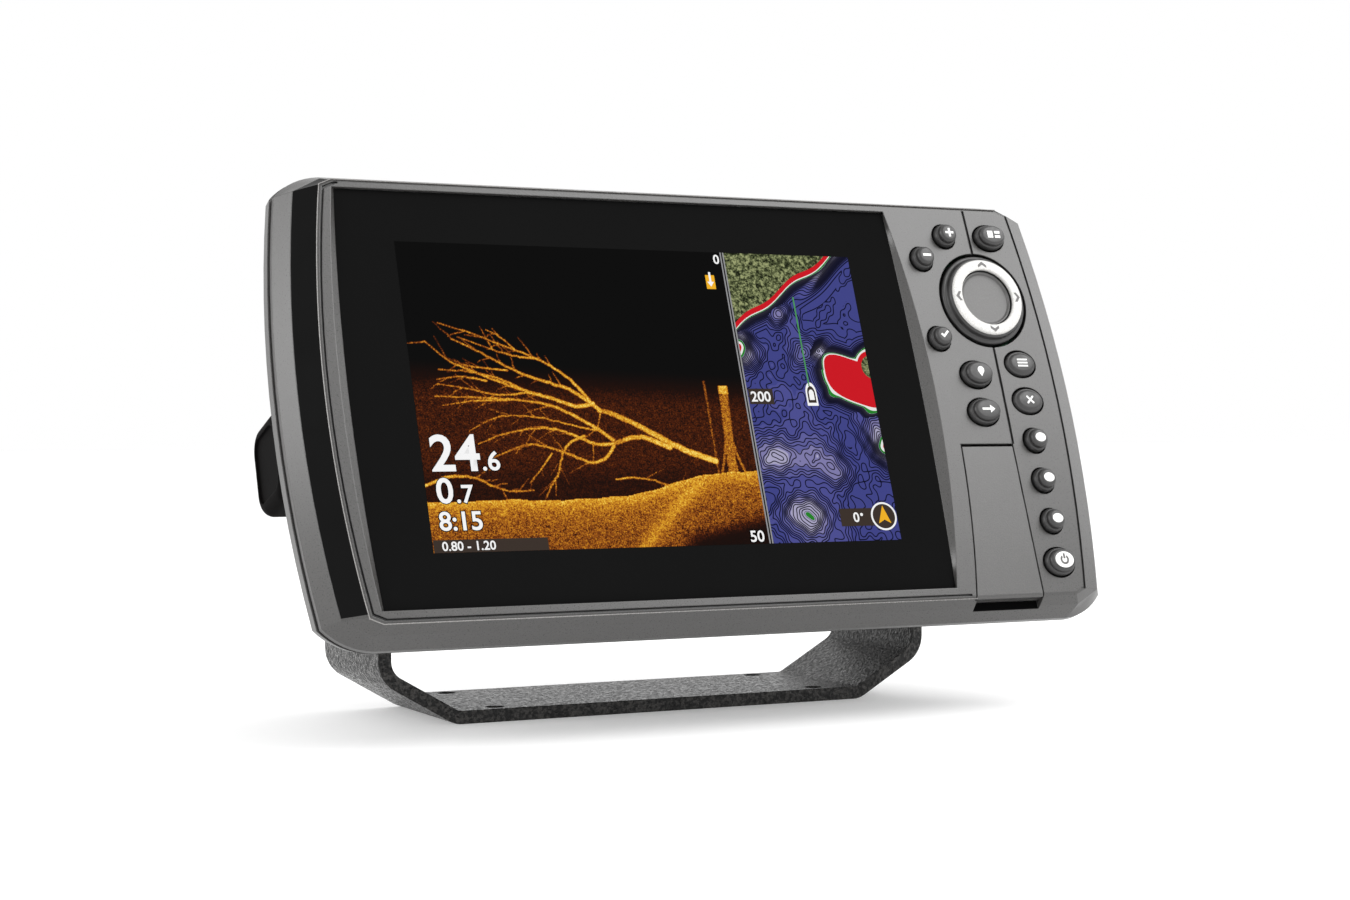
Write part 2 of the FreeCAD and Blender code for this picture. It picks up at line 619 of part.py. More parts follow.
def rear_housing(outside):
    """Deep part of the rear casing: knob ears, cooling fins and holes for the sockets."""
    shell = outside.cut(body_blank(WALL, BODY_RIM_Y - 0.1, REAR_Y - WALL))
    posts = [rod(3.4, SONAR_BOARD_Y + BOARD_T, REAR_Y - 1, x, z) for x, z in BOARD_POSTS]
    sleeves = [cross_rod(7.0, side * 82.0 - 6, side * 82.0 + 6, PIVOT_Y, PIVOT_HEAD_Z) for side in (-1, 1)]
    shell = fused([shell] + posts + sleeves)
    for x, z in BOARD_POSTS:
        shell = shell.cut(rod(1.1, SONAR_BOARD_Y, SONAR_BOARD_Y + 12, x, z))
    for _, x, radius, _, _ in SOCKETS:
        shell = shell.cut(rod(radius - 1.0, 80, 100, x, SOCKET_Z))
    shell = shell.cut(cross_rod(INSERT_R, -100, -74, PIVOT_Y, PIVOT_HEAD_Z))
    return shell.cut(cross_rod(INSERT_R, 74, 100, PIVOT_Y, PIVOT_HEAD_Z)).cut(rod(3.0, 80, 100, 40, SOCKET_Z))


def housing_gasket():
    y0, y1 = CASE_SPLIT_Y, CASE_SPLIT_Y + GASKET_T
    return outline_prism(RIM, y0, y1, -GASKET_SET_IN).cut(outline_prism(RIM, y0 - 1, y1 + 1, -2.4))


def case_screws():
    screws = []
    for x, z in CASE_SCREWS:
        head = rod(2.8, FLANGE_Y - 5.0, FLANGE_Y - 2.6, x, z).cut(rod(1.1, FLANGE_Y - 3.8, FLANGE_Y, x, z))
        screws.append(fused([head, rod(1.2, 5.0, FLANGE_Y - 5.0, x, z)]))
    return Part.Compound(screws)


def pivot_inserts():
    """Threaded brass inserts in the casing's two ears."""
    inserts = []
    for side in (-1, 1):
        x0, x1 = sorted((side * 77.0, side * 88.9))
        outer = cross_rod(INSERT_R, x0, x1, PIVOT_Y, PIVOT_HEAD_Z)
        bore_0, bore_1 = sorted((side * 78.5, side * 90.0))
        inserts.append(outer.cut(cross_rod(INSERT_BORE_R, bore_0, bore_1, PIVOT_Y, PIVOT_HEAD_Z)))
    return Part.Compound(inserts)


def friction_pads():
    """Rubber rings between the casing's ears and the bracket's arms."""
    pads = []
    for side in (-1, 1):
        x0, x1 = sorted((side * EAR_X, side * (ARM_IN_X - 0.15)))
        ring = cross_rod(14.5, x0, x1, PIVOT_Y, PIVOT_HEAD_Z)
        pads.append(ring.cut(cross_rod(5.0, x0 - 1, x1 + 1, PIVOT_Y, PIVOT_HEAD_Z)))
    return Part.Compound(pads)


# ---------------------------------------------------------------- electronics

def main_board():
    board = box(-76, 76, MAIN_BOARD_Y, MAIN_BOARD_Y + BOARD_T, -40, 42)
    for x, z in BOARD_POSTS:
        board = board.cut(rod(1.3, 30, 40, x, z))
    return board


def sonar_board():
    board = box(-72, 72, SONAR_BOARD_Y, SONAR_BOARD_Y + BOARD_T, -38, 34)
    for x, z in BOARD_POSTS:
        board = board.cut(rod(1.3, 50, 70, x, z))
    return board


def shield_cans():
    back = MAIN_BOARD_Y + BOARD_T
    sonar_front = SONAR_BOARD_Y - 5
    cans = [
        box(-58, -18, back, back + 4, -18, 22).cut(box(-57.6, -18.4, back - 1, back + 3.6, -17.6, 21.6)),
        box(-8, 30, back, back + 4, -10, 24).cut(box(-7.6, 29.6, back - 1, back + 3.6, -9.6, 23.6)),
        box(-50, 4, sonar_front, SONAR_BOARD_Y, -12, 22).cut(
            box(-49.6, 3.6, sonar_front + 0.4, SONAR_BOARD_Y + 1, -11.6, 21.6)),
    ]
    return Part.Compound(cans)


def heat_spreader():
    plate = box(-58, 58, 62.0, 66.0, -2, 32)
    fins = [box(x - 1.5, x + 1.5, 66.0, 84.0, -2, 32) for x in range(-54, 55, 12)]
    return fused([plate] + fins)


def board_spacers():
    front = MAIN_BOARD_Y + BOARD_T
    return Part.Compound([tube(3.0, 1.25, front, SONAR_BOARD_Y, x, z) for x, z in BOARD_POSTS])


def board_screws():
    screws = []
    for x, z in BOARD_POSTS:
        socket = rod(0.9, MAIN_BOARD_Y - 3, MAIN_BOARD_Y - 0.9, x, z)
        head = rod(2.6, MAIN_BOARD_Y - 1.8, MAIN_BOARD_Y, x, z).cut(socket)
        screws.append(fused([head, rod(1.2, MAIN_BOARD_Y, MAIN_BOARD_Y + 10, x, z)]))
        screws.append(rod(1.05, SONAR_BOARD_Y - 8, SONAR_BOARD_Y + 10, x, z))
    return Part.Compound(screws)


def gps_antenna():
    """Ceramic patch on its carrier, lying flat under the top of the casing."""
    carrier = box(-16, 16, 38.5, 56.0, 38.4, 39.4)
    patch = box(-12, 12, 40.0, 55.0, 39.4, 43.0)
    return fused([carrier, patch])


def buzzer():
    back = MAIN_BOARD_Y + BOARD_T
    return rod(6.0, back, back + 5.0, 50, -24).cut(rod(1.2, back + 4, back + 6, 50, -24))


def socket_body(x, radius, bore):
    """Round panel socket: collar outside, flange against the casing and a threaded tail inside."""
    pieces = [
        rod(radius, REAR_Y + 1.2, SOCKET_END_Y, x, SOCKET_Z),
        rod(radius + 2.0, REAR_Y + 1.2, REAR_Y + 3.4, x, SOCKET_Z),
        rod(radius - 1.2, 76.0, REAR_Y + 1.2, x, SOCKET_Z),
    ]
    socket = fused(pieces).cut(rod(bore, SOCKET_FLOOR_Y, SOCKET_END_Y + 1, x, SOCKET_Z))
    key_z = SOCKET_Z + bore
    key = box(x - 1.0, x + 1.0, SOCKET_FLOOR_Y, SOCKET_END_Y - 1.5, key_z - 0.9, key_z + 0.3)
    return fused([socket, key])


def socket_pins():
    pins = []
    for _, x, _, bore, count in SOCKETS:
        for i in range(count):
            angle = 2 * math.pi * i / count
            px, pz = x + 0.58 * bore * math.sin(angle), SOCKET_Z + 0.58 * bore * math.cos(angle)
            pins.append(rod(0.6, SOCKET_FLOOR_Y, SOCKET_FLOOR_Y + 4.0, px, pz))
    return Part.Compound(pins)


def socket_seals():
    y0, y1 = REAR_Y, REAR_Y + 1.2
    seals = [tube(radius + 1.6, radius - 1.1, y0, y1, x, SOCKET_Z) for _, x, radius, _, _ in SOCKETS]
    return Part.Compound(seals)


def hexagon(x, z, radius, y0, y1):
    points = [V(x + radius * math.cos(math.radians(a)), y0, z + radius * math.sin(math.radians(a)))
              for a in range(0, 361, 60)]
    return Part.Face(Part.makePolygon(points)).extrude(V(0, y1 - y0, 0))


def socket_nuts():
    nuts = []
    for _, x, radius, _, _ in SOCKETS:
        nut = hexagon(x, SOCKET_Z, radius + 2.4, 81.5, REAR_Y - WALL)
        nuts.append(nut.cut(rod(radius - 1.15, 78, 90, x, SOCKET_Z)))
    return Part.Compound(nuts)


def vent_plug():
    """Breather plug that lets the sealed casing equalise its pressure."""
    return fused([rod(2.95, 84.0, REAR_Y, 40, SOCKET_Z), rod(5.0, REAR_Y, REAR_Y + 1.6, 40, SOCKET_Z)])


# ---------------------------------------------------------------- knobs

def squared_disc(half, corner_r, x0, x1):
    """A block with the outline of a rounded square, along X and centred on the knobs' axis."""
    block = Part.makeBox(x1 - x0, 2 * half, 2 * half, V(x0, -half, -half))
    edges = [e for e in block.Edges if abs(e.Vertexes[0].X - e.Vertexes[-1].X) > 0.01]
    return block.makeFillet(corner_r, edges)


def knob(side):
    """Clamp knob with a rounded square grip, a shallow recess in its face and a neck against the washer."""
    grip = squared_disc(KNOB_HALF, KNOB_CORNER, KNOB_GRIP_X, KNOB_OUT_X)
    rims = [e for e in grip.Edges if all(abs(v.X - KNOB_OUT_X) < 0.01 for v in e.Vertexes)]
    grip = grip.makeFillet(KNOB_EDGE, rims)
    inset = KNOB_EDGE + 0.4
    dish = squared_disc(KNOB_HALF - inset, KNOB_CORNER - inset, KNOB_OUT_X - KNOB_DISH, KNOB_OUT_X + 1)
    neck = Part.makeCylinder(KNOB_NECK_R, KNOB_GRIP_X - KNOB_IN_X, V(KNOB_IN_X, 0, 0), ACROSS)
    shape = fused([grip.cut(dish), neck])
    bore = Part.makeCylinder(STUD_R, KNOB_BORE_END_X - KNOB_IN_X + 1, V(KNOB_IN_X - 1, 0, 0), ACROSS)
    return to_pivot(shape.cut(bore), side)


def knob_stud(side):
    stud = Part.makeCylinder(STUD_R, KNOB_BORE_END_X - STUD_END_X, V(STUD_END_X, 0, 0), ACROSS)
    return to_pivot(stud, side)


def washer(side):
    ring = Part.makeCylinder(9.0, WASHER_T, V(WASHER_X, 0, 0), ACROSS)
    hole = Part.makeCylinder(STUD_R + STUD_CLEARANCE, 9, V(90, 0, 0), ACROSS)
    return to_pivot(ring.cut(hole), side)


def to_pivot(shape, side):
    """Turn a right-hand shape to its side and move it onto the knobs' axis."""
    placed = shape.copy()
    if side < 0:
        placed.rotate(V(0, 0, 0), UP, 180)
    placed.translate(V(0, PIVOT_Y, PIVOT_HEAD_Z))
    return placed


def into_row(shape):
    """Lean a head part back about the knobs' axis and lift it onto the bracket."""
    placed = shape.copy()
    placed.translate(V(0, -PIVOT_Y, -PIVOT_HEAD_Z))
    placed.rotate(V(0, 0, 0), ACROSS, -LEAN)
    placed.translate(V(0, 0, PIVOT_Z))
    return placed


def head_parts():
    blank = casing_blank()
    outside = bevelled_panel()
    trim = side_trim(blank)
    housing = rear_housing_outside()
    parts = {
        "front_bezel": front_bezel(outside, trim),
        "side_trim": trim,
        "cover_glass": cover_glass(),
        "glass_adhesive": glass_adhesive(),
        "lcd_panel": slab(161, 102, 4.4, 6.0),
        "lcd_backlight": slab(163, 104, 6.0, 11.0),
        "lcd_frame": lcd_frame(),
        "display_ribbon": display_ribbon(),
        "keypad_mat": keypad_mat(),
        "keypad_board": keypad_board(),
        "switch_domes": switch_domes(),
        "cursor_pad": cursor_pad(),
        "cursor_ring": cursor_ring(),
        "cursor_centre": cursor_centre(),
        "cursor_cross": cursor_cross(),
        "cursor_yoke": cursor_yoke(),
        "card_door": card_door(outside),
        "card_door_pin": card_door_pin(),
        "card_door_seal": card_door_seal(),
        "card_reader": card_reader(),
        "rear_flange": rear_flange(housing),
        "rear_housing": rear_housing(housing),
        "housing_gasket": housing_gasket(),
        "case_screws": case_screws(),
        "pivot_inserts": pivot_inserts(),
        "friction_pads": friction_pads(),
        "main_board": main_board(),
        "sonar_board": sonar_board(),
        "shield_cans": shield_cans(),
        "heat_spreader": heat_spreader(),
        "board_spacers": board_spacers(),
        "board_screws": board_screws(),
        "gps_antenna": gps_antenna(),
        "buzzer": buzzer(),
        "socket_pins": socket_pins(),
        "socket_seals": socket_seals(),
        "socket_nuts": socket_nuts(),
        "vent_plug": vent_plug(),
    }
    for name, sizes in BUTTONS.items():
        parts["button_" + name] = button_cap(*sizes)
    for name, x, radius, bore, _ in SOCKETS:
        parts[name] = socket_body(x, radius, bore)
    for label, side in (("left", -1), ("right", 1)):
        parts["knob_" + label] = knob(side)
        parts["knob_stud_" + label] = knob_stud(side)
        parts["knob_washer_" + label] = washer(side)
    return parts


def main():
    os.makedirs("parts", exist_ok=True)
    shapes = {"gimbal_bracket": gimbal_bracket()}
    for name, shape in head_parts().items():
        shapes[name] = into_row(shape)
    for name, shape in shapes.items():
        size = shape.BoundBox
        print(f"{name:18s} solids {len(shape.Solids):3d} valid {shape.isValid()} volume {shape.Volume:10.1f} "
              f"y {size.YMin:7.2f} {size.YMax:7.2f} z {size.ZMin:7.2f} {size.ZMax:7.2f}")
        shape.exportStep(f"parts/{name}.step")


main()
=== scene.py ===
"""Looks of the fish finder: materials, screen picture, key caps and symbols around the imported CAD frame."""
import json
import math

import bmesh
import bpy
import numpy as np
from mathutils import Matrix, Vector


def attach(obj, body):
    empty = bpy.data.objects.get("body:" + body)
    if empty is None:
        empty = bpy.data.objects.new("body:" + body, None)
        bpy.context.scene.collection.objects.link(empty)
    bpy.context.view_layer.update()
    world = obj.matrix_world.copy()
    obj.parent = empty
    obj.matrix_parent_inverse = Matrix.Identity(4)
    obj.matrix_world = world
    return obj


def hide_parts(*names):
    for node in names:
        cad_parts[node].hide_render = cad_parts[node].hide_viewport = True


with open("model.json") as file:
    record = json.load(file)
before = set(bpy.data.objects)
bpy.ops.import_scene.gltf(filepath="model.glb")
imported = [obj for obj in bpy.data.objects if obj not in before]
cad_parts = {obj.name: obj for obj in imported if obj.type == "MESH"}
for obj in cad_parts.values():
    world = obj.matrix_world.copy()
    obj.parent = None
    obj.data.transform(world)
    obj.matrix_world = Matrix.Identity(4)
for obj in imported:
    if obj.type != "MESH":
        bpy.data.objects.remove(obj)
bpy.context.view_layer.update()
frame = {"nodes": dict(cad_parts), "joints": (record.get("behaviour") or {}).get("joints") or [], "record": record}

MM = 0.001
NODES = frame["nodes"]
JOINTS = {joint["name"]: joint for joint in frame["joints"]}
SCENE = bpy.context.scene

# ---- head frame
# The head leans back on its knobs. In the head frame x runs across, y runs back from the cover glass
# and z runs up the face, with the origin on the glass at the middle of the display.
BACK = Vector(JOINTS["plus_press"]["axis"]).normalized()
ACROSS = Vector((1, 0, 0))
UPWARD = ACROSS.cross(BACK)


def spread(node):
    """Lowest and highest values of a CAD node along the head frame's three directions, in metres."""
    co = np.array([v.co for v in NODES[node].data.vertices], float)
    along = co @ np.array([ACROSS, BACK, UPWARD], float).T
    return along.min(0), along.max(0)


glass_low, glass_high = spread("cover_glass")
panel_low, panel_high = spread("lcd_panel")
CENTRE = (
    ACROSS * ((panel_low[0] + panel_high[0]) / 2)
    + BACK * glass_low[1]
    + UPWARD * ((panel_low[2] + panel_high[2]) / 2)
)
HEAD = Matrix.Translation(CENTRE) @ Matrix((ACROSS, BACK, UPWARD)).transposed().to_4x4()


def local_front(node):
    """Depth of a CAD node's front behind the glass's face, in millimetres."""
    return spread(node)[0][1] / MM - CENTRE.dot(BACK) / MM


def local_spread(node):
    """A CAD node's box in the head frame, in millimetres from the middle of the display."""
    low, high = spread(node)
    shift = np.array([CENTRE.dot(ACROSS), CENTRE.dot(BACK), CENTRE.dot(UPWARD)])
    return (low - shift) / MM, (high - shift) / MM


# ---- node helpers

class Nodes:
    """Short calls for building a material's node tree."""

    def __init__(self, name):
        self.material = bpy.data.materials.new(name)
        self.material.use_nodes = True
        self.tree = self.material.node_tree
        self.shader = self.tree.nodes["Principled BSDF"]

    def add(self, kind, **settings):
        node = self.tree.nodes.new("ShaderNode" + kind)
        for key, value in settings.items():
            setattr(node, key, value)
        return node

    def feed(self, socket, value):
        if hasattr(value, "is_output"):
            self.tree.links.new(value, socket)
        else:
            socket.default_value = value

    def give(self, socket, value):
        """Links or sets one of the shader's own sockets."""
        self.feed(self.shader.inputs[socket], value)

    def place(self):
        return self.add("TexCoord").outputs["Object"]

    def noise(self, scale, detail=3.0, roughness=0.55, at=None):
        node = self.add("TexNoise")
        self.feed(node.inputs["Vector"], at if at is not None else self.place())
        for socket, value in {"Scale": scale, "Detail": detail, "Roughness": roughness}.items():
            node.inputs[socket].default_value = value
        return node.outputs["Fac"]

    def cells(self, scale, at=None):
        node = self.add("TexVoronoi")
        self.feed(node.inputs["Vector"], at if at is not None else self.place())
        node.inputs["Scale"].default_value = scale
        return node.outputs["Distance"]

    def math(self, operation, first, second=0.0, clamp=False):
        node = self.add("Math", operation=operation, use_clamp=clamp)
        self.feed(node.inputs[0], first)
        self.feed(node.inputs[1], second)
        return node.outputs[0]

    def between(self, value, low, high, low_out=0.0, high_out=1.0):
        node = self.add("MapRange", interpolation_type="SMOOTHSTEP")
        self.feed(node.inputs["Value"], value)
        limits = {"From Min": low, "From Max": high, "To Min": low_out, "To Max": high_out}
        for socket, limit in limits.items():
            node.inputs[socket].default_value = limit
        return node.outputs["Result"]

    def ramp(self, value, stops, steps=False):
        node = self.add("ValToRGB")
        self.feed(node.inputs["Fac"], value)
        points = node.color_ramp
        points.interpolation = "CONSTANT" if steps else "LINEAR"
        while len(points.elements) < len(stops):
            points.elements.new(0.5)
        for point, (at, colour) in zip(points.elements, stops):
            point.position = at
            point.color = (*colour, 1)
        return node.outputs["Color"]

    def mix(self, share, first, second, blend="MIX"):
        node = self.add("Mix", data_type="RGBA", blend_type=blend)
        self.feed(node.inputs["Factor"], share)
        self.feed(node.inputs[6], first if hasattr(first, "is_output") else (*first, 1))
        self.feed(node.inputs[7], second if hasattr(second, "is_output") else (*second, 1))
        return node.outputs[2]

    def value(self, attribute):
        return self.add("Attribute", attribute_name=attribute).outputs["Fac"]

    def bump(self, height, strength, distance, normal=None):
        node = self.add("Bump")
        node.inputs["Strength"].default_value = strength
        node.inputs["Distance"].default_value = distance
        self.feed(node.inputs["Height"], height)
        if normal is not None:
            self.feed(node.inputs["Normal"], normal)
        return node.outputs["Normal"]

    def paint_crevice_shade(self, reach, tint, shut=0.25, clear=0.7):
        """Paints shade into a colour inside narrow gaps, grooves and wells, where ambient occlusion is low."""
        node = self.add("AmbientOcclusion", samples=8)
        node.inputs["Distance"].default_value = reach
        open_sky = self.between(node.outputs["AO"], shut, clear)
        return self.mix(open_sky, srgb(8, 8, 8), tint)

    def soft_edges(self, radius):
        node = self.add("Bevel", samples=6)
        node.inputs["Radius"].default_value = radius
        return node.outputs["Normal"]


def srgb(*levels):
    """Linear colour from 0-255 display levels."""
    out = []
    for level in levels:
        c = level / 255
        out.append(c / 12.92 if c <= 0.04045 else ((c + 0.055) / 1.055) ** 2.4)
    return tuple(out)


# ---- materials
PLASTIC_SHADE_REACH = 0.0014    # how wide a gap the casing's painted crevice shade reaches into, in metres
# the same painted crevice shade for rubber parts, reaching further
RUBBER_SHADE_REACH = 0.004


def moulded_plastic(name, colour, rough=0.3, grain=2600, depth=0.00003, edge=0.0004, cloud=0.03,
                    specular=0.4):
    """Satin moulded plastic: fine sparkle grain, faint cloudiness, rubbed edges, painted shade in its crevices."""
    n = Nodes(name)
    grain_height = n.noise(grain, 2.0, 0.6)
    patches = n.noise(38, 4.0)
    darker = tuple(c * (1 - cloud) for c in colour)
    lighter = tuple(min(1, c * (1 + cloud)) for c in colour)
    tint = n.mix(n.between(patches, 0.3, 0.7), darker, lighter)
    pit, fleck = tuple(c * 0.55 for c in colour), tuple(min(1, c * 1.7) for c in colour)
    tint = n.mix(n.between(grain_height, 0.36, 0.5, 0.3, 0.0), tint, pit)
    tint = n.mix(n.between(grain_height, 0.5, 0.66, 0.0, 0.3), tint, fleck)
    # painted shade: the colour darkens towards black in narrow gaps and grooves
    n.give("Base Color", n.paint_crevice_shade(PLASTIC_SHADE_REACH, tint))
    n.give("Roughness", n.between(grain_height, 0.3, 0.7, rough - 0.03, rough + 0.05))
    n.give("Specular IOR Level", specular)
    n.give("Normal", n.bump(grain_height, 0.6, depth, n.soft_edges(edge)))
    return n.material


def gloss_plastic(name, colour, rough=0.08, specular=0.35, edge=0.0002):
    """Polished plastic with faint swirls in its gloss."""
    n = Nodes(name)
    swirl = n.noise(60, 5.0)
    paler = tuple(min(1, c * 1.25 + 0.001) for c in colour)
    n.give("Base Color", n.mix(swirl, colour, paler))
    n.give("Roughness", n.between(swirl, 0.3, 0.7, rough, rough + 0.06))
    n.give("Specular IOR Level", specular)
    n.give("Normal", n.bump(n.noise(900, 1.0), 0.05, 0.00001, n.soft_edges(edge)))
    return n.material


def wrinkle_coat(name, dark, light):
    """Wrinkle-finish powder coat: fine crazed ridges that catch the light."""
    n = Nodes(name)
    place = n.place()
    wrinkle = n.noise(900, 3.0, 0.7, place)
    lumps = n.cells(1000, place)
    height = n.math("ADD", wrinkle, n.math("MULTIPLY", lumps, 0.6))
    worn = n.noise(45, 4.0, 0.6, place)
    tint = n.mix(n.between(wrinkle, 0.46, 0.58), dark, light)
    tint = n.mix(n.between(worn, 0.55, 0.75, 0.0, 0.08), tint, light)
    n.give("Base Color", tint)
    n.give("Roughness", n.between(wrinkle, 0.42, 0.58, 0.5, 0.16))
    n.give("Specular IOR Level", 0.4)
    n.give("Normal", n.bump(height, 1.0, 0.0005, n.soft_edges(0.0005)))
    return n.material


def soft_rubber(name, colour, rough=0.62, bloom=0.25, specular=0.45):
    """Moulded silicone: a little bloom and dust on a matte skin, with painted shade in its gaps and wells."""
    n = Nodes(name)
    dust = n.noise(420, 5.0, 0.7)
    bloom_at = n.between(n.noise(120, 3.0), 0.45, 0.7, 0.0, bloom)
    pale = tuple(min(1, c * 1.7 + 0.01) for c in colour)
    tint = n.mix(bloom_at, colour, pale)
    tint = n.mix(n.between(dust, 0.66, 0.8, 0.0, 0.3), tint, pale)
    # painted shade: the colour darkens in gaps and wells, which darkens the key skirts beside the panel
    n.give("Base Color", n.paint_crevice_shade(RUBBER_SHADE_REACH, tint, 0.5, 0.9))
    n.give("Roughness", n.between(dust, 0.3, 0.7, rough - 0.08, rough + 0.08))
    n.give("Specular IOR Level", specular)
    n.give("Normal", n.bump(n.noise(3200, 2.0), 0.35, 0.00003, n.soft_edges(0.0002)))
    return n.material


def metal(name, colour, rough=0.3, streak=(900, 40, 900), depth=0.00001):
    """Metal with fine drawn or turned streaks and a few darker handling marks."""
    n = Nodes(name)
    stretch = n.add("Mapping")
    n.feed(stretch.inputs["Vector"], n.place())
    stretch.inputs["Scale"].default_value = streak
    lines = n.noise(1.0, 3.0, 0.6, stretch.outputs["Vector"])
    marks = n.noise(160, 4.0)
    tint = n.mix(n.between(marks, 0.5, 0.75, 0.0, 0.4), colour, tuple(c * 0.6 for c in colour))
    n.give("Base Color", tint)
    n.give("Metallic", 1.0)
    n.give("Roughness", n.between(lines, 0.3, 0.7, rough - 0.08, rough + 0.14))
    n.give("Normal", n.bump(lines, 0.4, depth, n.soft_edges(0.0002)))
    return n.material


def circuit_board(name):
    """Green solder mask over copper tracks."""
    n = Nodes(name)
    place = n.place()
    grid = n.add("TexBrick")
    n.feed(grid.inputs["Vector"], place)
    grid.inputs["Scale"].default_value = 220
    grid.inputs["Color1"].default_value = (0.008, 0.09, 0.04, 1)
    grid.inputs["Color2"].default_value = (0.012, 0.13, 0.055, 1)
    grid.inputs["Mortar"].default_value = (0.04, 0.22, 0.09, 1)
    grid.inputs["Mortar Size"].default_value = 0.05
    speck = n.noise(700, 2.0, 0.5, place)
    tint = n.mix(n.between(speck, 0.68, 0.7), grid.outputs["Color"], (0.55, 0.5, 0.35))
    n.give("Base Color", tint)
    n.give("Roughness", n.between(speck, 0.3, 0.7, 0.3, 0.5))
    n.give("Normal", n.bump(grid.outputs["Fac"], 0.3, 0.00003))
    return n.material


def window_black(name):
    """The black printed border seen through the cover glass."""
    n = Nodes(name)
    smear = n.noise(26, 5.0, 0.6)
    n.give("Base Color", n.mix(smear, srgb(18, 18, 18), srgb(20, 20, 20)))
    n.give("Roughness", n.between(smear, 0.35, 0.7, 0.06, 0.11))
    n.give("Specular IOR Level", 0.0)
    n.give("Normal", n.bump(n.noise(8, 2.0), 0.03, 0.00005))
    return n.material


def lit(n, picture, glow=0.55):
    """A picture seen in a lit screen: part pigment, part light, under gloss."""
    dimmed = n.mix(1.0, picture, (0.3, 0.3, 0.3), "MULTIPLY")
    n.give("Base Color", dimmed)
    n.give("Emission Color", picture)
    n.give("Emission Strength", glow)
    n.give("Roughness", 0.1)
    n.give("Specular IOR Level", 0.0)
    return n.material


def screen_ink(name, colour, glow=0.55):
    """One colour of the screen's picture, with the panel's faint pixel rows."""
    n = Nodes(name)
    rows = n.noise(2500, 1.0)
    dimmer = tuple(c * 0.8 for c in colour)
    return lit(n, n.mix(n.between(rows, 0.3, 0.7, 0.0, 0.12), colour, dimmer), glow)


def printed_ink(name, colour):
    """Ink or clear-moulded symbol on a key, slightly uneven."""
    n = Nodes(name)
    wear = n.noise(1500, 3.0, 0.7)
    duller = tuple(c * 0.8 for c in colour)
    n.give("Base Color", n.mix(n.between(wear, 0.55, 0.8, 0.0, 0.35), colour, duller))
    n.give("Roughness", 0.4)
    n.give("Normal", n.bump(wear, 0.2, 0.00002))
    return n.material


GREY = srgb(60, 59, 58)
MATERIALS = {
    "powder_coat": wrinkle_coat("bracket_wrinkle_coat", srgb(3, 3, 3), srgb(60, 58, 56)),
    "casing_grey": moulded_plastic("casing_satin_grey", GREY, specular=0.66),
    "rear_grey": moulded_plastic("rear_casing_grain", srgb(70, 69, 68), 0.42, grain=1900, depth=0.00005),
    "trim_black": gloss_plastic("side_trim_gloss", srgb(12, 12, 12), 0.07, specular=0.06),
    "window_glass": window_black("cover_glass_black"),
    "display": gloss_plastic("display_cell", srgb(20, 22, 26)),
    "foam_black": soft_rubber("adhesive_foam", srgb(24, 24, 24)),
    "backlight_white": moulded_plastic("light_guide", srgb(228, 228, 224), 0.4),
    "frame_steel": metal("display_frame_metal", srgb(190, 190, 190)),
    "ribbon_amber": gloss_plastic("ribbon_amber", srgb(170, 110, 40), 0.3),
    "key_rubber": soft_rubber("key_rubber", srgb(34, 33, 33), 0.46, bloom=0.15, specular=0.7),
    "ring_white": moulded_plastic("ring_white", srgb(204, 203, 200), 0.42, depth=0.00001, edge=0.0003,
                                  cloud=0.015),
    "centre_grey": moulded_plastic("centre_grey", srgb(76, 75, 74), 0.36, specular=0.6),
    "board_green": circuit_board("circuit_board"),
    "dome_steel": metal("dome_steel", srgb(205, 205, 205), 0.18),
    "post_nylon": moulded_plastic("gimbal_nylon", srgb(205, 203, 196), 0.45),
    "washer_nylon": moulded_plastic("washer_nylon", srgb(38, 38, 38), 0.4),
    "seal_rubber": soft_rubber("seal_rubber", srgb(26, 26, 26)),
    "reader_black": moulded_plastic("reader_black", srgb(30, 30, 31), 0.4),
    "screw_steel": metal("screw_steel", srgb(170, 170, 172)),
    "stud_steel": metal("stud_steel", srgb(170, 170, 172)),
    "insert_brass": metal("insert_brass", srgb(190, 150, 84)),
    "can_tin": metal("shield_tin", srgb(196, 196, 192), 0.35),
    "spreader_aluminium": metal("spreader_aluminium", srgb(200, 200, 202), 0.32),
    "patch_ceramic": moulded_plastic("patch_ceramic", srgb(176, 160, 130), 0.6),
    "socket_black": moulded_plastic("socket_black", srgb(34, 34, 35), 0.38, grain=1900),
    "pin_brass": metal("pin_brass", srgb(214, 176, 104), 0.2),
    "knob_black": moulded_plastic("knob_black", srgb(15, 14, 14), 0.45, grain=1900, depth=0.00005,
                                  edge=0.0006, specular=0.005),
}
DOOR_GREY = moulded_plastic("door_satin_grey", srgb(62, 61, 60), 0.34, grain=2200, depth=0.00005,
                            specular=0.76)
# near-black material for the painted shade in the finger notch
NOTCH_SHADE_BLACK = gloss_plastic("notch_shadow", srgb(8, 8, 8), 0.5, specular=0.0)
SYMBOL_WHITE = printed_ink("symbol_white", srgb(236, 236, 234))
SYMBOL_GREY = printed_ink("symbol_grey", srgb(84, 82, 81))
# paler grey than the casing: the painted highlight along the front panel's edge
EDGE_HIGHLIGHT_GREY = moulded_plastic("edge_bead_painted_highlight", srgb(132, 130, 128), 0.25, depth=0.00001,
                              edge=0.0001, specular=0.6)


def dress_cad_nodes():
    """Gives each CAD node the material that its slot in the record names."""
    for entry in frame["record"]["subparts"]:
        node = NODES[entry["node"]]
        material = DOOR_GREY if entry["node"] == "card_door" else MATERIALS[entry["material_slot"]]
        node.data.materials.clear()
        node.data.materials.append(material)


# ---- mesh helpers

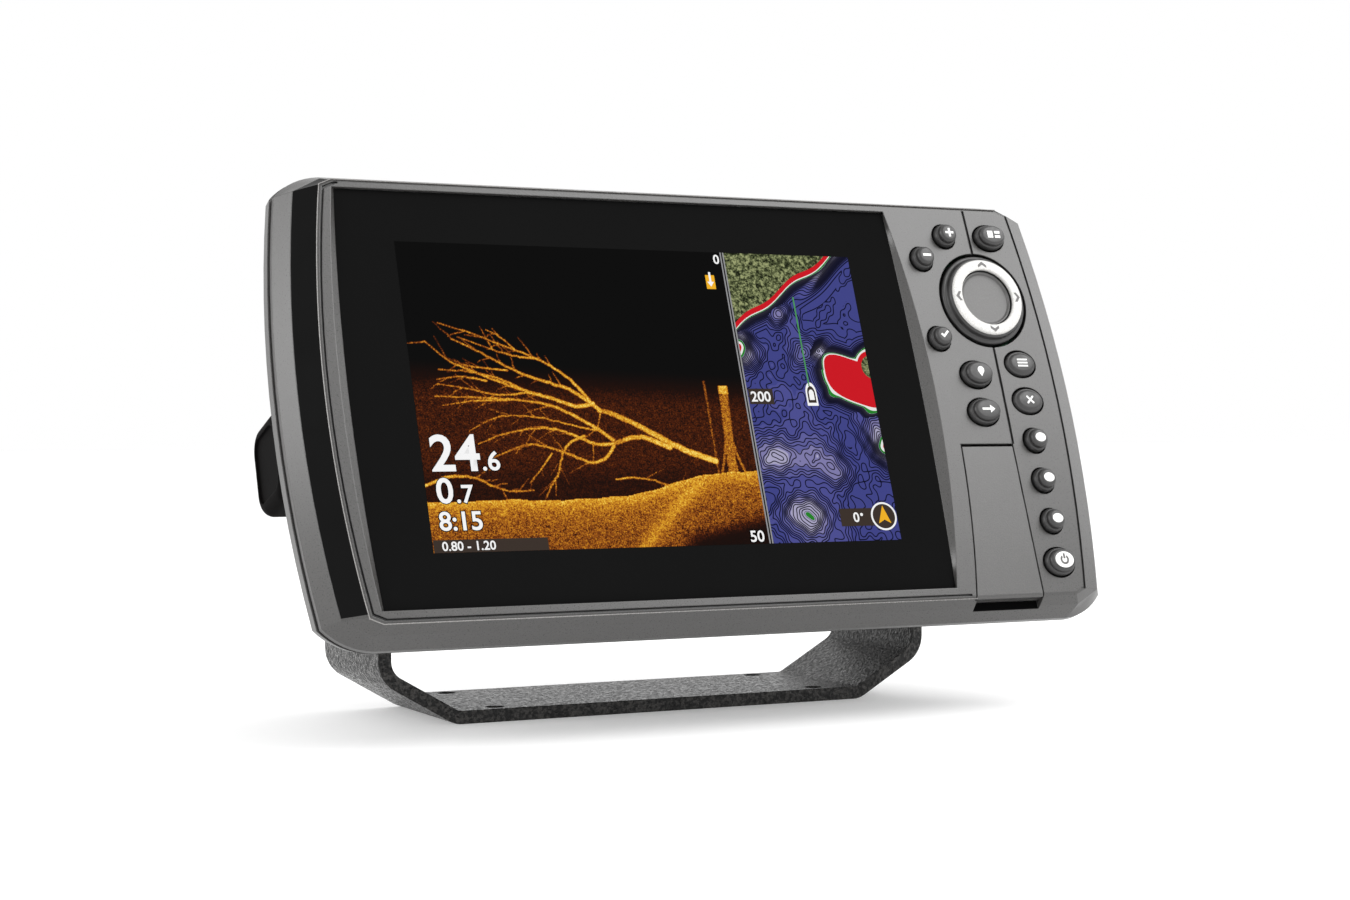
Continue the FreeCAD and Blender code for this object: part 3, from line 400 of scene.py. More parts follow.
def finish_mesh(name, bm, body, material, smooth=True):
    """Turns a bmesh in head-frame millimetres into a piece that rides on a body."""
    mesh = bpy.data.meshes.new(name)
    bmesh.ops.recalc_face_normals(bm, faces=bm.faces)
    bm.to_mesh(mesh)
    bm.free()
    mesh.transform(HEAD @ Matrix.Scale(MM, 4))
    piece = bpy.data.objects.new(name, mesh)
    SCENE.collection.objects.link(piece)
    mesh.materials.append(material)
    if smooth:
        mesh.polygons.foreach_set("use_smooth", [True] * len(mesh.polygons))
    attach(piece, body)
    return piece


def lathe(name, profile, centre, half_w, half_h, body, material, turns=72, hollow=False):
    """A turned shape about the face's normal. Profile points are (share of the half width, depth).

    A hollow shape joins its last ring to its first, which leaves a hole through its middle.
    """
    bm = bmesh.new()
    rings = []
    for share, depth in profile:
        if share == 0:
            rings.append([bm.verts.new((centre[0], depth, centre[1]))])
            continue
        ring = []
        for i in range(turns):
            angle = 2 * math.pi * i / turns
            x = centre[0] + share * half_w * math.cos(angle)
            z = centre[1] + (half_h - (1 - share) * half_w) * math.sin(angle)
            ring.append(bm.verts.new((x, depth, z)))
        rings.append(ring)
    following = rings[1:] + rings[:1] if hollow else rings[1:]
    for first, second in zip(rings, following):
        for i in range(turns):
            j = (i + 1) % turns
            near = (first[i % len(first)], first[j % len(first)])
            far = (second[j % len(second)], second[i % len(second)])
            unique = list(dict.fromkeys(near + far))
            if len(unique) > 2:
                bm.faces.new(unique)
    for ring in (rings[0], rings[-1]):
        if len(ring) > 1 and not hollow:
            bm.faces.new(ring)
    return finish_mesh(name, bm, body, material)


def fillet(points, radius, steps=5):
    """Rounds the corners of an open (x, y) line and returns a denser line."""
    out = [points[0]]
    for before, at, after in zip(points, points[1:], points[2:]):
        a, b, c = Vector(before), Vector(at), Vector(after)
        room = min(radius, (a - b).length * 0.45, (c - b).length * 0.45)
        start, end = b + (a - b).normalized() * room, b + (c - b).normalized() * room
        for i in range(steps + 1):
            t = i / steps
            out.append(tuple(start * (1 - t) ** 2 + b * (2 * t * (1 - t)) + end * t ** 2))
    out.append(points[-1])
    return out


def plate(bm, outline, depth, thickness=0.06):
    """Adds a thin flat plate to a bmesh: outline points are (x, z), its face is at depth."""
    front = [bm.verts.new((x, depth, z)) for x, z in outline]
    rear = [bm.verts.new((x, depth + thickness, z)) for x, z in outline]
    bm.faces.new(front)
    bm.faces.new(list(reversed(rear)))
    count = len(outline)
    for i in range(count):
        j = (i + 1) % count
        bm.faces.new((front[i], rear[i], rear[j], front[j]))


def bar(start, end, width):
    """Outline of a straight stroke with square ends."""
    a, b = Vector(start), Vector(end)
    side = (b - a).normalized().orthogonal() * (width / 2)
    return [tuple(a + side), tuple(a - side), tuple(b - side), tuple(b + side)]


def disc(centre, half_w, half_h, start=0.0, sweep=360.0, steps=40):
    """Outline of an ellipse, or of the part of it that sweep covers, in degrees."""
    points = []
    count = steps if sweep == 360 else steps + 1
    for i in range(count):
        angle = math.radians(start + sweep * i / steps)
        points.append((centre[0] + half_w * math.cos(angle), centre[1] + half_h * math.sin(angle)))
    return points


def arc_band(bm, centre, inner, outer, start, sweep, depth, steps=30, thickness=0.05):
    """Adds a flat band that follows part of a circle."""
    for i in range(steps):
        a0 = math.radians(start + sweep * i / steps)
        a1 = math.radians(start + sweep * (i + 1) / steps)
        quad = []
        for radius, angle in ((inner, a0), (outer, a0), (outer, a1), (inner, a1)):
            quad.append((centre[0] + radius * math.cos(angle), centre[1] + radius * math.sin(angle)))
        plate(bm, quad, depth, thickness)
    bmesh.ops.remove_doubles(bm, verts=bm.verts, dist=0.0005)


# ---- screen picture
SCREEN_W, SCREEN_H = 151.0, 93.8
SPLIT_X = 30.4              # where the sonar view ends and the chart begins
PICTURE_Y = -0.05           # the picture lies just in front of the glass's face
INK_Y = -0.10               # numerals and marks lie in front of the picture
SONAR_STEP = 0.26           # distance between the sonar sheet's points
CHART_STEP = 0.30
INK_WHITE = screen_ink("ink_white", srgb(240, 240, 240), 0.6)
INK_BLACK = screen_ink("ink_black", srgb(14, 14, 14), 0.1)
INK_SMOKE = screen_ink("ink_smoke", srgb(66, 56, 50), 0.4)
INK_GREY = screen_ink("ink_grey", srgb(150, 150, 152), 0.5)
INK_AMBER = screen_ink("ink_amber", srgb(232, 172, 40), 0.6)
INK_GREEN = screen_ink("ink_green", srgb(78, 150, 92), 0.5)


def picture_sheet(name, x0, x1, z0, z1, step, layers, material):
    """A flat sheet whose points carry the picture's values."""
    columns, rows = int((x1 - x0) / step) + 1, int((z1 - z0) / step) + 1
    xs, zs = np.linspace(x0, x1, columns), np.linspace(z0, z1, rows)
    x, z = (a.ravel() for a in np.meshgrid(xs, zs))
    co = np.column_stack([x, np.full_like(x, PICTURE_Y), z])
    index = np.arange(rows * columns).reshape(rows, columns)
    quads = np.stack([index[:-1, :-1], index[:-1, 1:], index[1:, 1:], index[1:, :-1]], -1).reshape(-1, 4)
    mesh = bpy.data.meshes.new(name)
    mesh.vertices.add(len(co))
    mesh.vertices.foreach_set("co", co.ravel())
    mesh.loops.add(quads.size)
    mesh.loops.foreach_set("vertex_index", quads.ravel())
    mesh.polygons.add(len(quads))
    mesh.polygons.foreach_set("loop_start", np.arange(0, quads.size, 4))
    mesh.update()
    mesh.validate()
    for layer, values in layers(x, z).items():
        mesh.attributes.new(layer, "FLOAT", "POINT").data.foreach_set("value", values.astype(np.float32))
    mesh.transform(HEAD @ Matrix.Scale(MM, 4))
    piece = bpy.data.objects.new(name, mesh)
    SCENE.collection.objects.link(piece)
    mesh.materials.append(material)
    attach(piece, "head")
    return piece


def step_up(value, low, high):
    """Rises smoothly from 0 to 1 between low and high."""
    t = np.clip((value - low) / (high - low), 0, 1)
    return t * t * (3 - 2 * t)


def stroke(x, z, points, widths, levels, field):
    """Draws a tapering line into field, brightest at its middle."""
    pairs = [zip(values, values[1:]) for values in (points, widths, levels)]
    for (a, b), (wa, wb), (la, lb) in zip(*pairs):
        reach = max(wa, wb) * 2 + 0.6
        near = (x > min(a[0], b[0]) - reach) & (x < max(a[0], b[0]) + reach)
        near &= (z > min(a[1], b[1]) - reach) & (z < max(a[1], b[1]) + reach)
        if not near.any():
            continue
        px, pz = x[near] - a[0], z[near] - a[1]
        dx, dz = b[0] - a[0], b[1] - a[1]
        t = np.clip((px * dx + pz * dz) / (dx * dx + dz * dz + 1e-9), 0, 1)
        away = np.hypot(px - t * dx, pz - t * dz)
        half = (wa + (wb - wa) * t) / 2
        mark = (la + (lb - la) * t) * (1 - step_up(away, half * 0.55, half * 1.25 + 0.15))
        field[near] = np.maximum(field[near], mark)


# Limbs of the sunken tree: width at the foot, width at the tip, then the points that each one passes
LIMBS = (
    (2.0, 1.5, ((16.5, -21), (4, -16.3), (-5, -10.6), (-15, -5.8), (-19, -5))),
    (1.6, 1.3, ((2, -16.6), (-6, -13), (-12, -13.8), (-16, -15.5))),
    (1.3, 0.4, ((-18.5, -5), (-21, -2.8), (-27, 1.5), (-32, 3.2), (-40, 5.5), (-47, 9), (-54, 13),
                (-62, 17))),
    (0.9, 0.3, ((-21.5, -2), (-26, 4), (-31, 8), (-36, 11), (-45, 14.5), (-55, 18.5), (-65.5, 21.8))),
    (0.6, 0.3, ((-36, 11), (-42, 11.6), (-48, 13), (-60, 17.5))),
    (0.4, 0.2, ((-43, 14), (-47, 18), (-51, 20))),
    (1.3, 0.3, ((-20.5, -3), (-26, -4), (-34, -1), (-41, 1), (-50, 4), (-58, 7.5), (-64, 10), (-70, 16))),
    (0.6, 0.3, ((-41, 1), (-48, 4.7), (-58, 7), (-67, 7.5))),
    (0.5, 0.3, ((-46, 7.5), (-55, 8), (-63, 9.5))),
    (0.6, 0.3, ((-53, 4), (-60, 5.6), (-68, 4.6))),
    (1.1, 0.4, ((-16, -14), (-22, -9.5), (-30, -5), (-36, -2.8), (-46, -1.5), (-56, -1), (-69, -0.5))),
    (0.8, 0.3, ((-34, -1), (-39, 0.5), (-50, -0.5), (-60, 2), (-68, 3))),
    (0.6, 0.3, ((-46, -1.5), (-58, -2), (-67, -3.5))),
    (1.0, 0.4, ((-16.5, -15.5), (-22, -15.5), (-28, -12.5), (-35, -10.3), (-42, -10.5), (-50, -12),
                (-58, -15))),
    (0.5, 0.3, ((-20, -11.5), (-28, -9.5), (-36, -7.5), (-44, -6.3), (-52, -7), (-60, -11))),
    (1.0, 0.4, ((-16, -16), (-18.5, -19.5), (-23.5, -21.5), (-30, -18.5), (-38, -15.8), (-43, -15),
                (-54, -19))),
    (0.7, 0.4, ((-25, -12.7), (-31, -15.5), (-33.5, -20), (-35, -25), (-37, -27), (-39.5, -31.5))),
    (0.5, 0.3, ((-36, -18), (-40, -23), (-44, -27))),
    (0.4, 0.2, ((-18.8, -6), (-20, -10))),
    (0.4, 0.2, ((-22.5, -15.5), (-23, -20))),
    (0.9, 0.4, ((-76, -27.5), (-68, -24.3), (-60, -25), (-55, -28), (-50, -29.5), (-43, -29))),
    (0.5, 0.4, ((-17, -26.2), (-12, -25.5), (-5, -26.5), (0, -28.5), (4, -27.5))),
)
TWIG_EVERY = 3              # points of a limb between two twigs
THICK_LIMB = 1.5            # limbs this wide at the foot bear no twigs
BED_LOW, BED_HIGH = -32.0, -24.2    # height of the lake bed at the left and at the right


def twig(rng, line, at, field, x, z):
    """A short side shoot that leaves a limb towards its tip."""
    heading = np.array(line[at]) - np.array(line[at - 1])
    heading /= np.hypot(*heading)
    turn = rng.uniform(0.25, 0.9) * rng.choice([-1, 1])
    cos, sin = math.cos(turn), math.sin(turn)
    reach = rng.uniform(2.5, 8.0)
    side = np.array([cos * heading[0] - sin * heading[1], sin * heading[0] + cos * heading[1]])
    points = [np.array(line[at]) + side * reach * t + rng.normal(0, 0.12, 2) for t in np.linspace(0, 1, 6)]
    level = rng.uniform(0.34, 0.55)
    stroke(x, z, points, np.linspace(0.42, 0.2, 6), np.linspace(level, level * 0.7, 6), field)


def tree(x, z, rng):
    """The sunken tree's echo: each limb in turn, then its twigs from a third of the way along."""
    field = np.zeros_like(x)
    for foot, tip, points in LIMBS:
        line = [np.array(p) + rng.normal(0, 0.09, 2) for p in fillet(points, 5.0, 5)]
        strength = 0.66 + 0.14 * foot
        widths = np.linspace(foot, tip, len(line))
        stroke(x, z, line, widths, np.linspace(min(strength, 0.9), strength * 0.72, len(line)), field)
        if foot < THICK_LIMB:
            for at in range(len(line) // 3 + 1, len(line), TWIG_EVERY):
                twig(rng, line, at, field, x, z)
    return field


def stump(x, z):
    """The standing stump with its roots, and the thin post beside it."""
    aside = np.abs(x - (22.3 + 0.05 * (z + 10)))
    sawn_top = 0.3 * (aside < 1.7) * (np.abs(z - 1.8) < 1.3)
    trunk = 0.5 * step_up(1.9 - aside, 0, 0.7) * (z < 3.0) + sawn_top
    post = 0.36 * step_up(0.6 - np.abs(x - 16.8), 0, 0.4) * (z < 4.6)
    field = np.maximum(trunk, post) * (z > BED_HIGH - 1)
    for reach in (-4.0, -1.4, 1.3, 3.8):
        line = [(22 + reach * 0.3, -15.0), (22 + reach * 0.6, -20.0), (22 + reach, -24.6)]
        stroke(x, z, line, (1.0, 0.8, 0.7), (0.45, 0.5, 0.55), field)
    return field


def lake_bed(x, z):
    """How far each point lies below the bed, and the bed's own echo there."""
    ripple = 0.25 * np.sin(x * 0.21) + 0.12 * np.sin(x * 0.63 + 1)
    below = BED_LOW + (BED_HIGH - BED_LOW) * step_up(x, -24, 24) + ripple - z
    echo = 0.38 + 0.42 * np.exp(-np.clip(below, 0, None) / 3.4)
    ridge = np.exp(-((x - 10 + (z + 27) * -1.05) / 3.4) ** 2)
    echo += 0.24 * ridge * step_up(below, 0, 5)
    echo -= 0.32 * step_up(-z - 39 + 0.2 * (x - 8), 0, 8) * step_up(x, -4, 8)
    return below, echo


def sonar_layers(x, z):
    """Echo strength from 0 to 1 over the sonar view."""
    rng = np.random.default_rng(7)
    haze_top = 5.0 - 0.045 * (x + 20)
    echo = 0.17 * step_up(haze_top - z, -4, 9) * (1 - 0.35 * step_up(-z, 20, 28))
    echo = np.maximum(echo, np.maximum(tree(x, z, rng), stump(x, z)))
    below, bed = lake_bed(x, z)
    return {"echo": np.clip(np.where(below > 0, bed, echo), 0, 1)}


def sonar_material():
    """Amber echo palette with speckle that grows with the echo's strength."""
    n = Nodes("sonar_view")
    place = n.place()
    echo = n.value("echo")
    speck = n.noise(2300, 2.0, 0.75, place)
    coarse = n.noise(820, 3.0, 0.6, place)
    grain = n.math("ADD", n.math("MULTIPLY", n.math("SUBTRACT", speck, 0.5), 2.2),
                   n.math("MULTIPLY", n.math("SUBTRACT", coarse, 0.5), 0.9))
    weight = n.between(echo, 0.0, 0.35, 0.0, 0.62)
    level = n.math("ADD", echo, n.math("MULTIPLY", grain, weight), True)
    picture = n.ramp(level, [
        (0.0, srgb(15, 15, 15)), (0.10, srgb(34, 18, 14)), (0.24, srgb(78, 34, 16)),
        (0.45, srgb(150, 82, 26)), (0.68, srgb(206, 140, 36)), (0.86, srgb(226, 178, 52)),
        (1.0, srgb(244, 214, 110)),
    ])
    return lit(n, picture, 0.6)


# Chart heights: water runs up to about 0.77, then green, white and red shallows, and land above 1
SHORE_RED_MM = 1.5          # width of the red shallows along the shore
CONTOURS = 24               # contour lines per unit of chart height
CONTOUR_HALF_MM = 0.17
CONTOUR_TOP = 0.77          # no contour lines on the shallows and the land
WAVES = (                   # along x, along z, height of the ripples that bend the contours
    (0.31, 0.22, 0.04), (-0.47, 0.38, 0.03), (0.83, -0.61, 0.02), (1.3, 1.1, 0.012),
)
HILLS = (                   # x, z, width, height of the mounds and hollows under water
    (30.0, 15.0, 4.6, 0.80), (46.0, 27.5, 3.4, 0.40), (53.0, 14.0, 5.0, 0.32), (34.0, -20.0, 5.0, 0.50),
    (43.0, -20.0, 4.0, 0.28), (51.5, -19.0, 4.5, 0.34), (56.5, -25.5, 4.5, 0.36), (43.0, -37.5, 5.0, 0.58),
    (49.0, -44.0, 6.0, 0.30), (76.0, -17.0, 4.2, 0.78), (74.0, -8.0, 5.0, 0.28), (39.0, 0.0, 6.0, 0.10),
    (68.0, 30.0, 9.0, -0.06), (66.0, -16.0, 5.0, -0.08), (72.0, -36.0, 7.0, -0.10), (47.0, -8.0, 7.0, 0.12),
)


def shallows(inland, rim):
    """Chart height from the distance inland of a shore, in mm: land, red, a rim, then deep water."""
    outside = np.clip(inland + SHORE_RED_MM, None, 0)
    beyond = np.clip(outside + rim, None, 0)
    steep = 0.50 * np.exp(beyond / 1.5) + 0.27 * np.exp(beyond / 6.0)
    sloping = 0.9 + 0.13 * outside / rim
    dry = 1 + 0.1 * inland / SHORE_RED_MM
    return np.where(inland > -SHORE_RED_MM, dry, np.where(beyond < 0, steep, sloping))


def chart_height(x, z):
    """Height of the lake bed and the land over the chart view."""
    rim = 0.5 + 1.5 * np.clip(np.sin(0.33 * x - 0.36 * z + 0.6), 0, 1) ** 2
    coast = 22.5 + 0.7 * (x - 30) + 0.9 * np.sin((x - 30) * 0.33)
    land = shallows((z - coast) * 0.82 + 0.8 * step_up(x, 44, 60), rim)
    across, along = (x - 69.5) * 0.74, (z - 4.8 + 0.34 * (x - 69.5)) * 1.0
    edge = (np.abs(across) ** 3 + np.abs(along) ** 3) ** (1 / 3)
    island = shallows(np.minimum(7.4 - SHORE_RED_MM - edge, -0.3), rim + 0.4 * (along < 0))
    knoll = shallows(4.0 - np.hypot(x - 77, z - 9.5), rim)
    water = np.full_like(x, 0.10)
    for cx, cz, width, top in HILLS:
        water += top * np.exp(-((x - cx) ** 2 + (z - cz) ** 2) / (2 * width * width))
    for i, (kx, kz, size) in enumerate(WAVES):
        water += size * np.sin(kx * x + kz * z + 1.7 * i + 1.2 * np.sin(0.35 * x - 0.27 * z + i))
    return np.maximum(np.maximum(land, water), np.maximum(island, knoll))


def chart_layers(x, z):
    """Chart height, and its change per millimetre, which keeps the contour lines evenly wide."""
    height = chart_height(x, z)
    gap = 0.05
    slope = np.hypot(chart_height(x + gap, z) - chart_height(x - gap, z),
                     chart_height(x, z + gap) - chart_height(x, z - gap)) / (2 * gap)
    return {"height": height, "slope": slope}


def chart_material():
    """Banded depth colours with contour lines of constant width."""
    n = Nodes("chart_view")
    place = n.place()
    height, slope = n.value("height"), n.value("slope")
    water = n.ramp(height, [
        (0.0, srgb(66, 70, 136)), (0.2, srgb(78, 80, 146)), (0.36, srgb(96, 96, 156)),
        (0.47, srgb(128, 124, 172)), (0.58, srgb(170, 166, 196)), (0.775, srgb(40, 130, 44)),
        (0.84, srgb(232, 232, 230)), (0.90, srgb(204, 28, 38)),
    ], steps=True)
    leaf = n.noise(800, 4.0, 0.8, place)
    land = n.ramp(leaf, [(0.40, srgb(26, 30, 20)), (0.50, srgb(84, 92, 60)), (0.60, srgb(160, 166, 118))])
    colour = n.mix(n.math("GREATER_THAN", height, 1.0), water, land)
    phase = n.math("FRACT", n.math("MULTIPLY", height, CONTOURS))
    offset = n.math("ABSOLUTE", n.math("SUBTRACT", phase, 0.5))
    distance = n.math("DIVIDE", offset, n.math("MAXIMUM", n.math("MULTIPLY", slope, CONTOURS), 0.02))
    line = n.between(distance, CONTOUR_HALF_MM * 0.7, CONTOUR_HALF_MM * 1.4, 0.95, 0.0)
    on_water = n.math("MULTIPLY", line, n.math("LESS_THAN", height, CONTOUR_TOP))
    colour = n.mix(on_water, colour, srgb(12, 12, 22))
    return lit(n, colour, 0.5)


def text_piece(name, words, size, x, z, material, depth, swell, align):
    """Flat numerals on the screen. Size is their height and swell their extra boldness, in mm."""
    curve = bpy.data.curves.new(name, "FONT")
    curve.body = words
    curve.size = size / 0.7 * MM
    curve.align_x = align
    curve.offset = swell * MM
    curve.resolution_u = 4
    flat = bpy.data.objects.new(name + "_line", curve)
    SCENE.collection.objects.link(flat)
    bpy.context.view_layer.update()
    mesh = bpy.data.meshes.new_from_object(flat.evaluated_get(bpy.context.evaluated_depsgraph_get()))
    bpy.data.objects.remove(flat)
    upright = Matrix.Rotation(math.radians(90), 4, "X")
    mesh.transform(HEAD @ Matrix.Translation(Vector((x, depth, z)) * MM) @ upright)
    mesh.materials.clear()
    mesh.materials.append(material)
    piece = bpy.data.objects.new(name, mesh)
    SCENE.collection.objects.link(piece)
    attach(piece, "head")
    return piece


def readout(name, words, size, x, z, align="LEFT"):
    """White numerals with a thin dark outline behind them."""
    outline, boldness = 0.42, size * 0.026
    text_piece(name + "_shade", words, size, x, z, INK_BLACK, INK_Y + 0.02, outline, align)
    text_piece(name, words, size, x, z, INK_WHITE, INK_Y, boldness, align)


def flat_mark(name, outlines, material, depth=INK_Y, thickness=0.02):
    """Thin flat plates on the head, joined into one piece."""
    bm = bmesh.new()
    for outline in outlines:
        plate(bm, outline, depth, thickness)
    return finish_mesh(name, bm, "head", material, smooth=False)


def rectangle(x0, x1, z0, z1):
    return [(x0, z0), (x1, z0), (x1, z1), (x0, z1)]


def screen():
    """The two pictures, the line between them and everything written over them."""
    left, right = -SCREEN_W / 2, SCREEN_W / 2
    low, high = -SCREEN_H / 2, SCREEN_H / 2
    sonar, chart = sonar_material(), chart_material()
    picture_sheet("sonar_view", left, SPLIT_X - 0.5, low, high, SONAR_STEP, sonar_layers, sonar)
    picture_sheet("chart_view", SPLIT_X + 0.5, right, low, high, CHART_STEP, chart_layers, chart)
    for i, shift in enumerate((-0.45, 0.45)):
        strip = rectangle(SPLIT_X + shift - 0.22, SPLIT_X + shift + 0.22, low, high)
        flat_mark(f"split_line_{i + 1}", [strip], INK_GREY)
    readout("depth_value", "24", 10.6, left + 2.4, -22.9)
    readout("depth_tenths", ".6", 5.6, left + 17.6, -22.9)
    readout("speed_value", "0", 7.3, left + 2.9, -32.4)
    readout("speed_tenths", ".7", 5.2, left + 8.6, -32.4)
    readout("clock", "8:15", 5.4, left + 2.6, -40.4)
    bar_under = rectangle(left + 0.2, left + 34.5, low, low + 3.7)
    flat_mark("data_bar", [bar_under], INK_SMOKE, INK_Y + 0.01)
    readout("band", "0.80 - 1.20", 2.6, left + 2.6, low + 0.6)
    readout("scale_top", "0", 3.0, SPLIT_X - 2.2, high - 3.8, "CENTER")
    readout("scale_low", "50", 3.4, SPLIT_X - 4.4, low + 0.7, "CENTER")
    echo_icon()
    plate_under = rectangle(SPLIT_X + 1.0, SPLIT_X + 9.4, -2.9, 2.1)
    flat_mark("chart_scale_plate", [plate_under], INK_SMOKE, INK_Y + 0.01)
    readout("chart_scale", "200", 3.2, SPLIT_X + 1.6, -2.0)
    flat_mark("course_line", [bar((52.9, 32.6), (52.9, 3.0), 0.5)], INK_GREEN)
    boat()
    compass()


def echo_icon():
    """Amber tag with a white arrow that points down."""
    tag = rectangle(SPLIT_X - 7.0, SPLIT_X - 3.9, 34.6, 39.2)
    flat_mark("echo_icon", [tag], INK_AMBER)
    shaft = rectangle(SPLIT_X - 5.8, SPLIT_X - 5.1, 37.0, 40.2)
    head = [(SPLIT_X - 6.6, 37.0), (SPLIT_X - 5.45, 35.4), (SPLIT_X - 4.3, 37.0)]
    flat_mark("echo_icon_arrow", [shaft, head], INK_WHITE, INK_Y - 0.03)


def boat_outline(scale, cx=53.2, cz=0.0):
    """A pointed hull seen from above, with a square stern."""
    half, nose, tail = 1.9 * scale, 4.2 * scale, -3.4 * scale
    bow = [(math.cos(a), math.sin(a)) for a in np.linspace(0, math.pi / 2, 9)]
    right = [(cx + half * across, cz + 0.6 + (nose - 0.6) * ahead) for across, ahead in bow]
    left = [(2 * cx - px, pz) for px, pz in reversed(right[:-1])]
    return right + left + [(cx - half, cz + tail), (cx + half, cz + tail)]


def boat():
    flat_mark("boat_icon_edge", [boat_outline(1.0)], INK_WHITE)
    flat_mark("boat_icon_hull", [boat_outline(0.72)], INK_SMOKE, INK_Y - 0.03)
    flat_mark("boat_icon_deck", [boat_outline(0.45)], INK_WHITE, INK_Y - 0.06)


def compass():
    """The heading's numeral on its plate, and the round compass beside it."""
    flat_mark("compass_label", [rectangle(55.5, 69.0, -42.2, -36.6)], INK_SMOKE, INK_Y)
    text_piece("compass_value", "0", 3.0, 61.0, -40.9, INK_WHITE, INK_Y - 0.06, 0.08, "CENTER")
    flat_mark("compass_degree", [disc((63.0, -38.6), 0.5, 0.5)], INK_WHITE, INK_Y - 0.06)
    centre = (70.8, -39.3)
    flat_mark("compass_disc", [disc(centre, 4.5, 4.5)], INK_WHITE, INK_Y - 0.02)
    flat_mark("compass_face", [disc(centre, 3.9, 3.9)], INK_SMOKE, INK_Y - 0.05)
    needle = [(70.8, -35.9), (73.0, -41.6), (70.8, -40.4), (68.6, -41.6)]
    flat_mark("compass_needle", [needle], INK_AMBER, INK_Y - 0.08)


# ---- keys
KEYS = ("plus", "minus", "view", "check", "mark", "goto", "menu", "exit",
        "preset_1", "preset_2", "preset_3", "power")
PANEL_FRONT = local_front("card_door")      # depth of the keypad panel's face behind the glass's face
STEP_IN = 0.85              # how far the raised cap sits inside its skirt
KEY_FLANGE = 1.35           # how far the hidden flange stands out beyond the skirt
KEY_CROWN = 0.12            # how far a cap's top falls from its middle to its rim
LEDGE_SHARE = 0.45          # the skirt's height as a share of the cap's
INK_PROUD = 0.03            # how far printed symbols stand out


def key_symbols(key, cx, cz):
    """Outlines of each key's symbol, in head-frame millimetres."""
    def line(x0, z0, x1, z1, width):
        return bar((cx + x0, cz + z0), (cx + x1, cz + z1), width)

    def shape(*points):
        return [(cx + x, cz + z) for x, z in points]

    if key == "plus":
        return [line(-1.5, 0, 1.5, 0, 0.75), line(0, -1.5, 0, -0.375, 0.75), line(0, 0.375, 0, 1.5, 0.75)]
    if key == "minus":
        return [line(-1.5, 0, 1.5, 0, 0.8)]
    if key == "check":
        return [shape((-1.5, 0.1), (-1.0, 0.6), (-0.4, 0), (1.1, 1.5), (1.6, 1.0), (-0.4, -1.0))]
    if key == "view":
        panes = ((-2.4, -0.35, -1.2, 1.2), (0.35, 2.4, 0.3, 1.2), (0.35, 2.4, -1.2, -0.3))
        return [rectangle(cx + x0, cx + x1, cz + z0, cz + z1) for x0, x1, z0, z1 in panes]
    if key == "mark":
        return [disc((cx, cz + 0.5), 1.2, 1.2, -25, 230, 20) + shape((0, -1.7))]
    if key == "goto":
        return [line(-2.4, 0, 0.6, 0, 0.7), shape((0.6, -1.3), (2.4, 0), (0.6, 1.3))]
    if key == "menu":
        return [line(-1.9, rise, 1.9, rise, 0.55) for rise in (-1.05, 0.0, 1.05)]
    if key == "exit":
        return [line(-1.2, -1.2, 1.2, 1.2, 0.6), line(-1.2, 1.2, -0.22, 0.22, 0.6),
                line(0.22, -0.22, 1.2, -1.2, 0.6)]
    if key == "power":
        return [disc((cx, cz), 3.4, 2.6)]
    return [disc((cx, cz), 1.95, 1.5)]


def key_cap(key):
    """A softly rounded two-step cap that stands for its plain CAD solid."""
    node = "button_" + key
    low, high = local_spread(node)
    half_w = (high[0] - low[0]) / 2 - KEY_FLANGE
    half_h = (high[2] - low[2]) / 2 - KEY_FLANGE
    centre = ((low[0] + high[0]) / 2, (low[2] + high[2]) / 2)
    front, rear = low[1], high[1]
    ledge = PANEL_FRONT - (PANEL_FRONT - front) * LEDGE_SHARE
    step = STEP_IN / half_w
    profile = [
        (0.45, front + KEY_CROWN * 0.25), (1 - 1.75 * step, front + KEY_CROWN), (1 - step, front + 0.75),
        (1 - step * 0.92, ledge - 0.1), (1 - 0.45 * step, ledge), (1.0, ledge + 0.9), (1.0, rear - 1.2),
    ]
    rounded = fillet([(share * half_w, depth) for share, depth in profile], 0.55)
    turned = [(0.0, front)] + [(reach / half_w, depth) for reach, depth in rounded]
    cap = lathe("cap_" + key, turned, centre, half_w, half_h, node, MATERIALS["key_rubber"])
    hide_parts(node)
    white = bmesh.new()
    for outline in key_symbols(key, *centre):
        plate(white, outline, front - INK_PROUD, 0.25)
    finish_mesh("symbol_" + key, white, node, SYMBOL_WHITE, smooth=False)
    if key == "power":
        power_mark(node, centre, front - 2 * INK_PROUD)


def power_mark(node, centre, depth):
    """The open ring and stroke on the white face of the power key."""
    dark = bmesh.new()
    arc_band(dark, centre, 0.9, 1.6, 125, 290, depth)
    plate(dark, bar((centre[0], centre[1] + 0.3), (centre[0], centre[1] + 2.0), 0.7), depth, 0.05)
    finish_mesh("symbol_power_mark", dark, node, SYMBOL_GREY, smooth=False)


def cursor_part(name, profile, centre, reach, slot, hollow=False):
    """A turned part of the cursor control. Profile points are (radius, depth)."""
    shares = [(radius / reach, depth) for radius, depth in profile]
    return lathe(name, shares, centre, reach, reach, "cursor", MATERIALS[slot], 96, hollow=hollow)


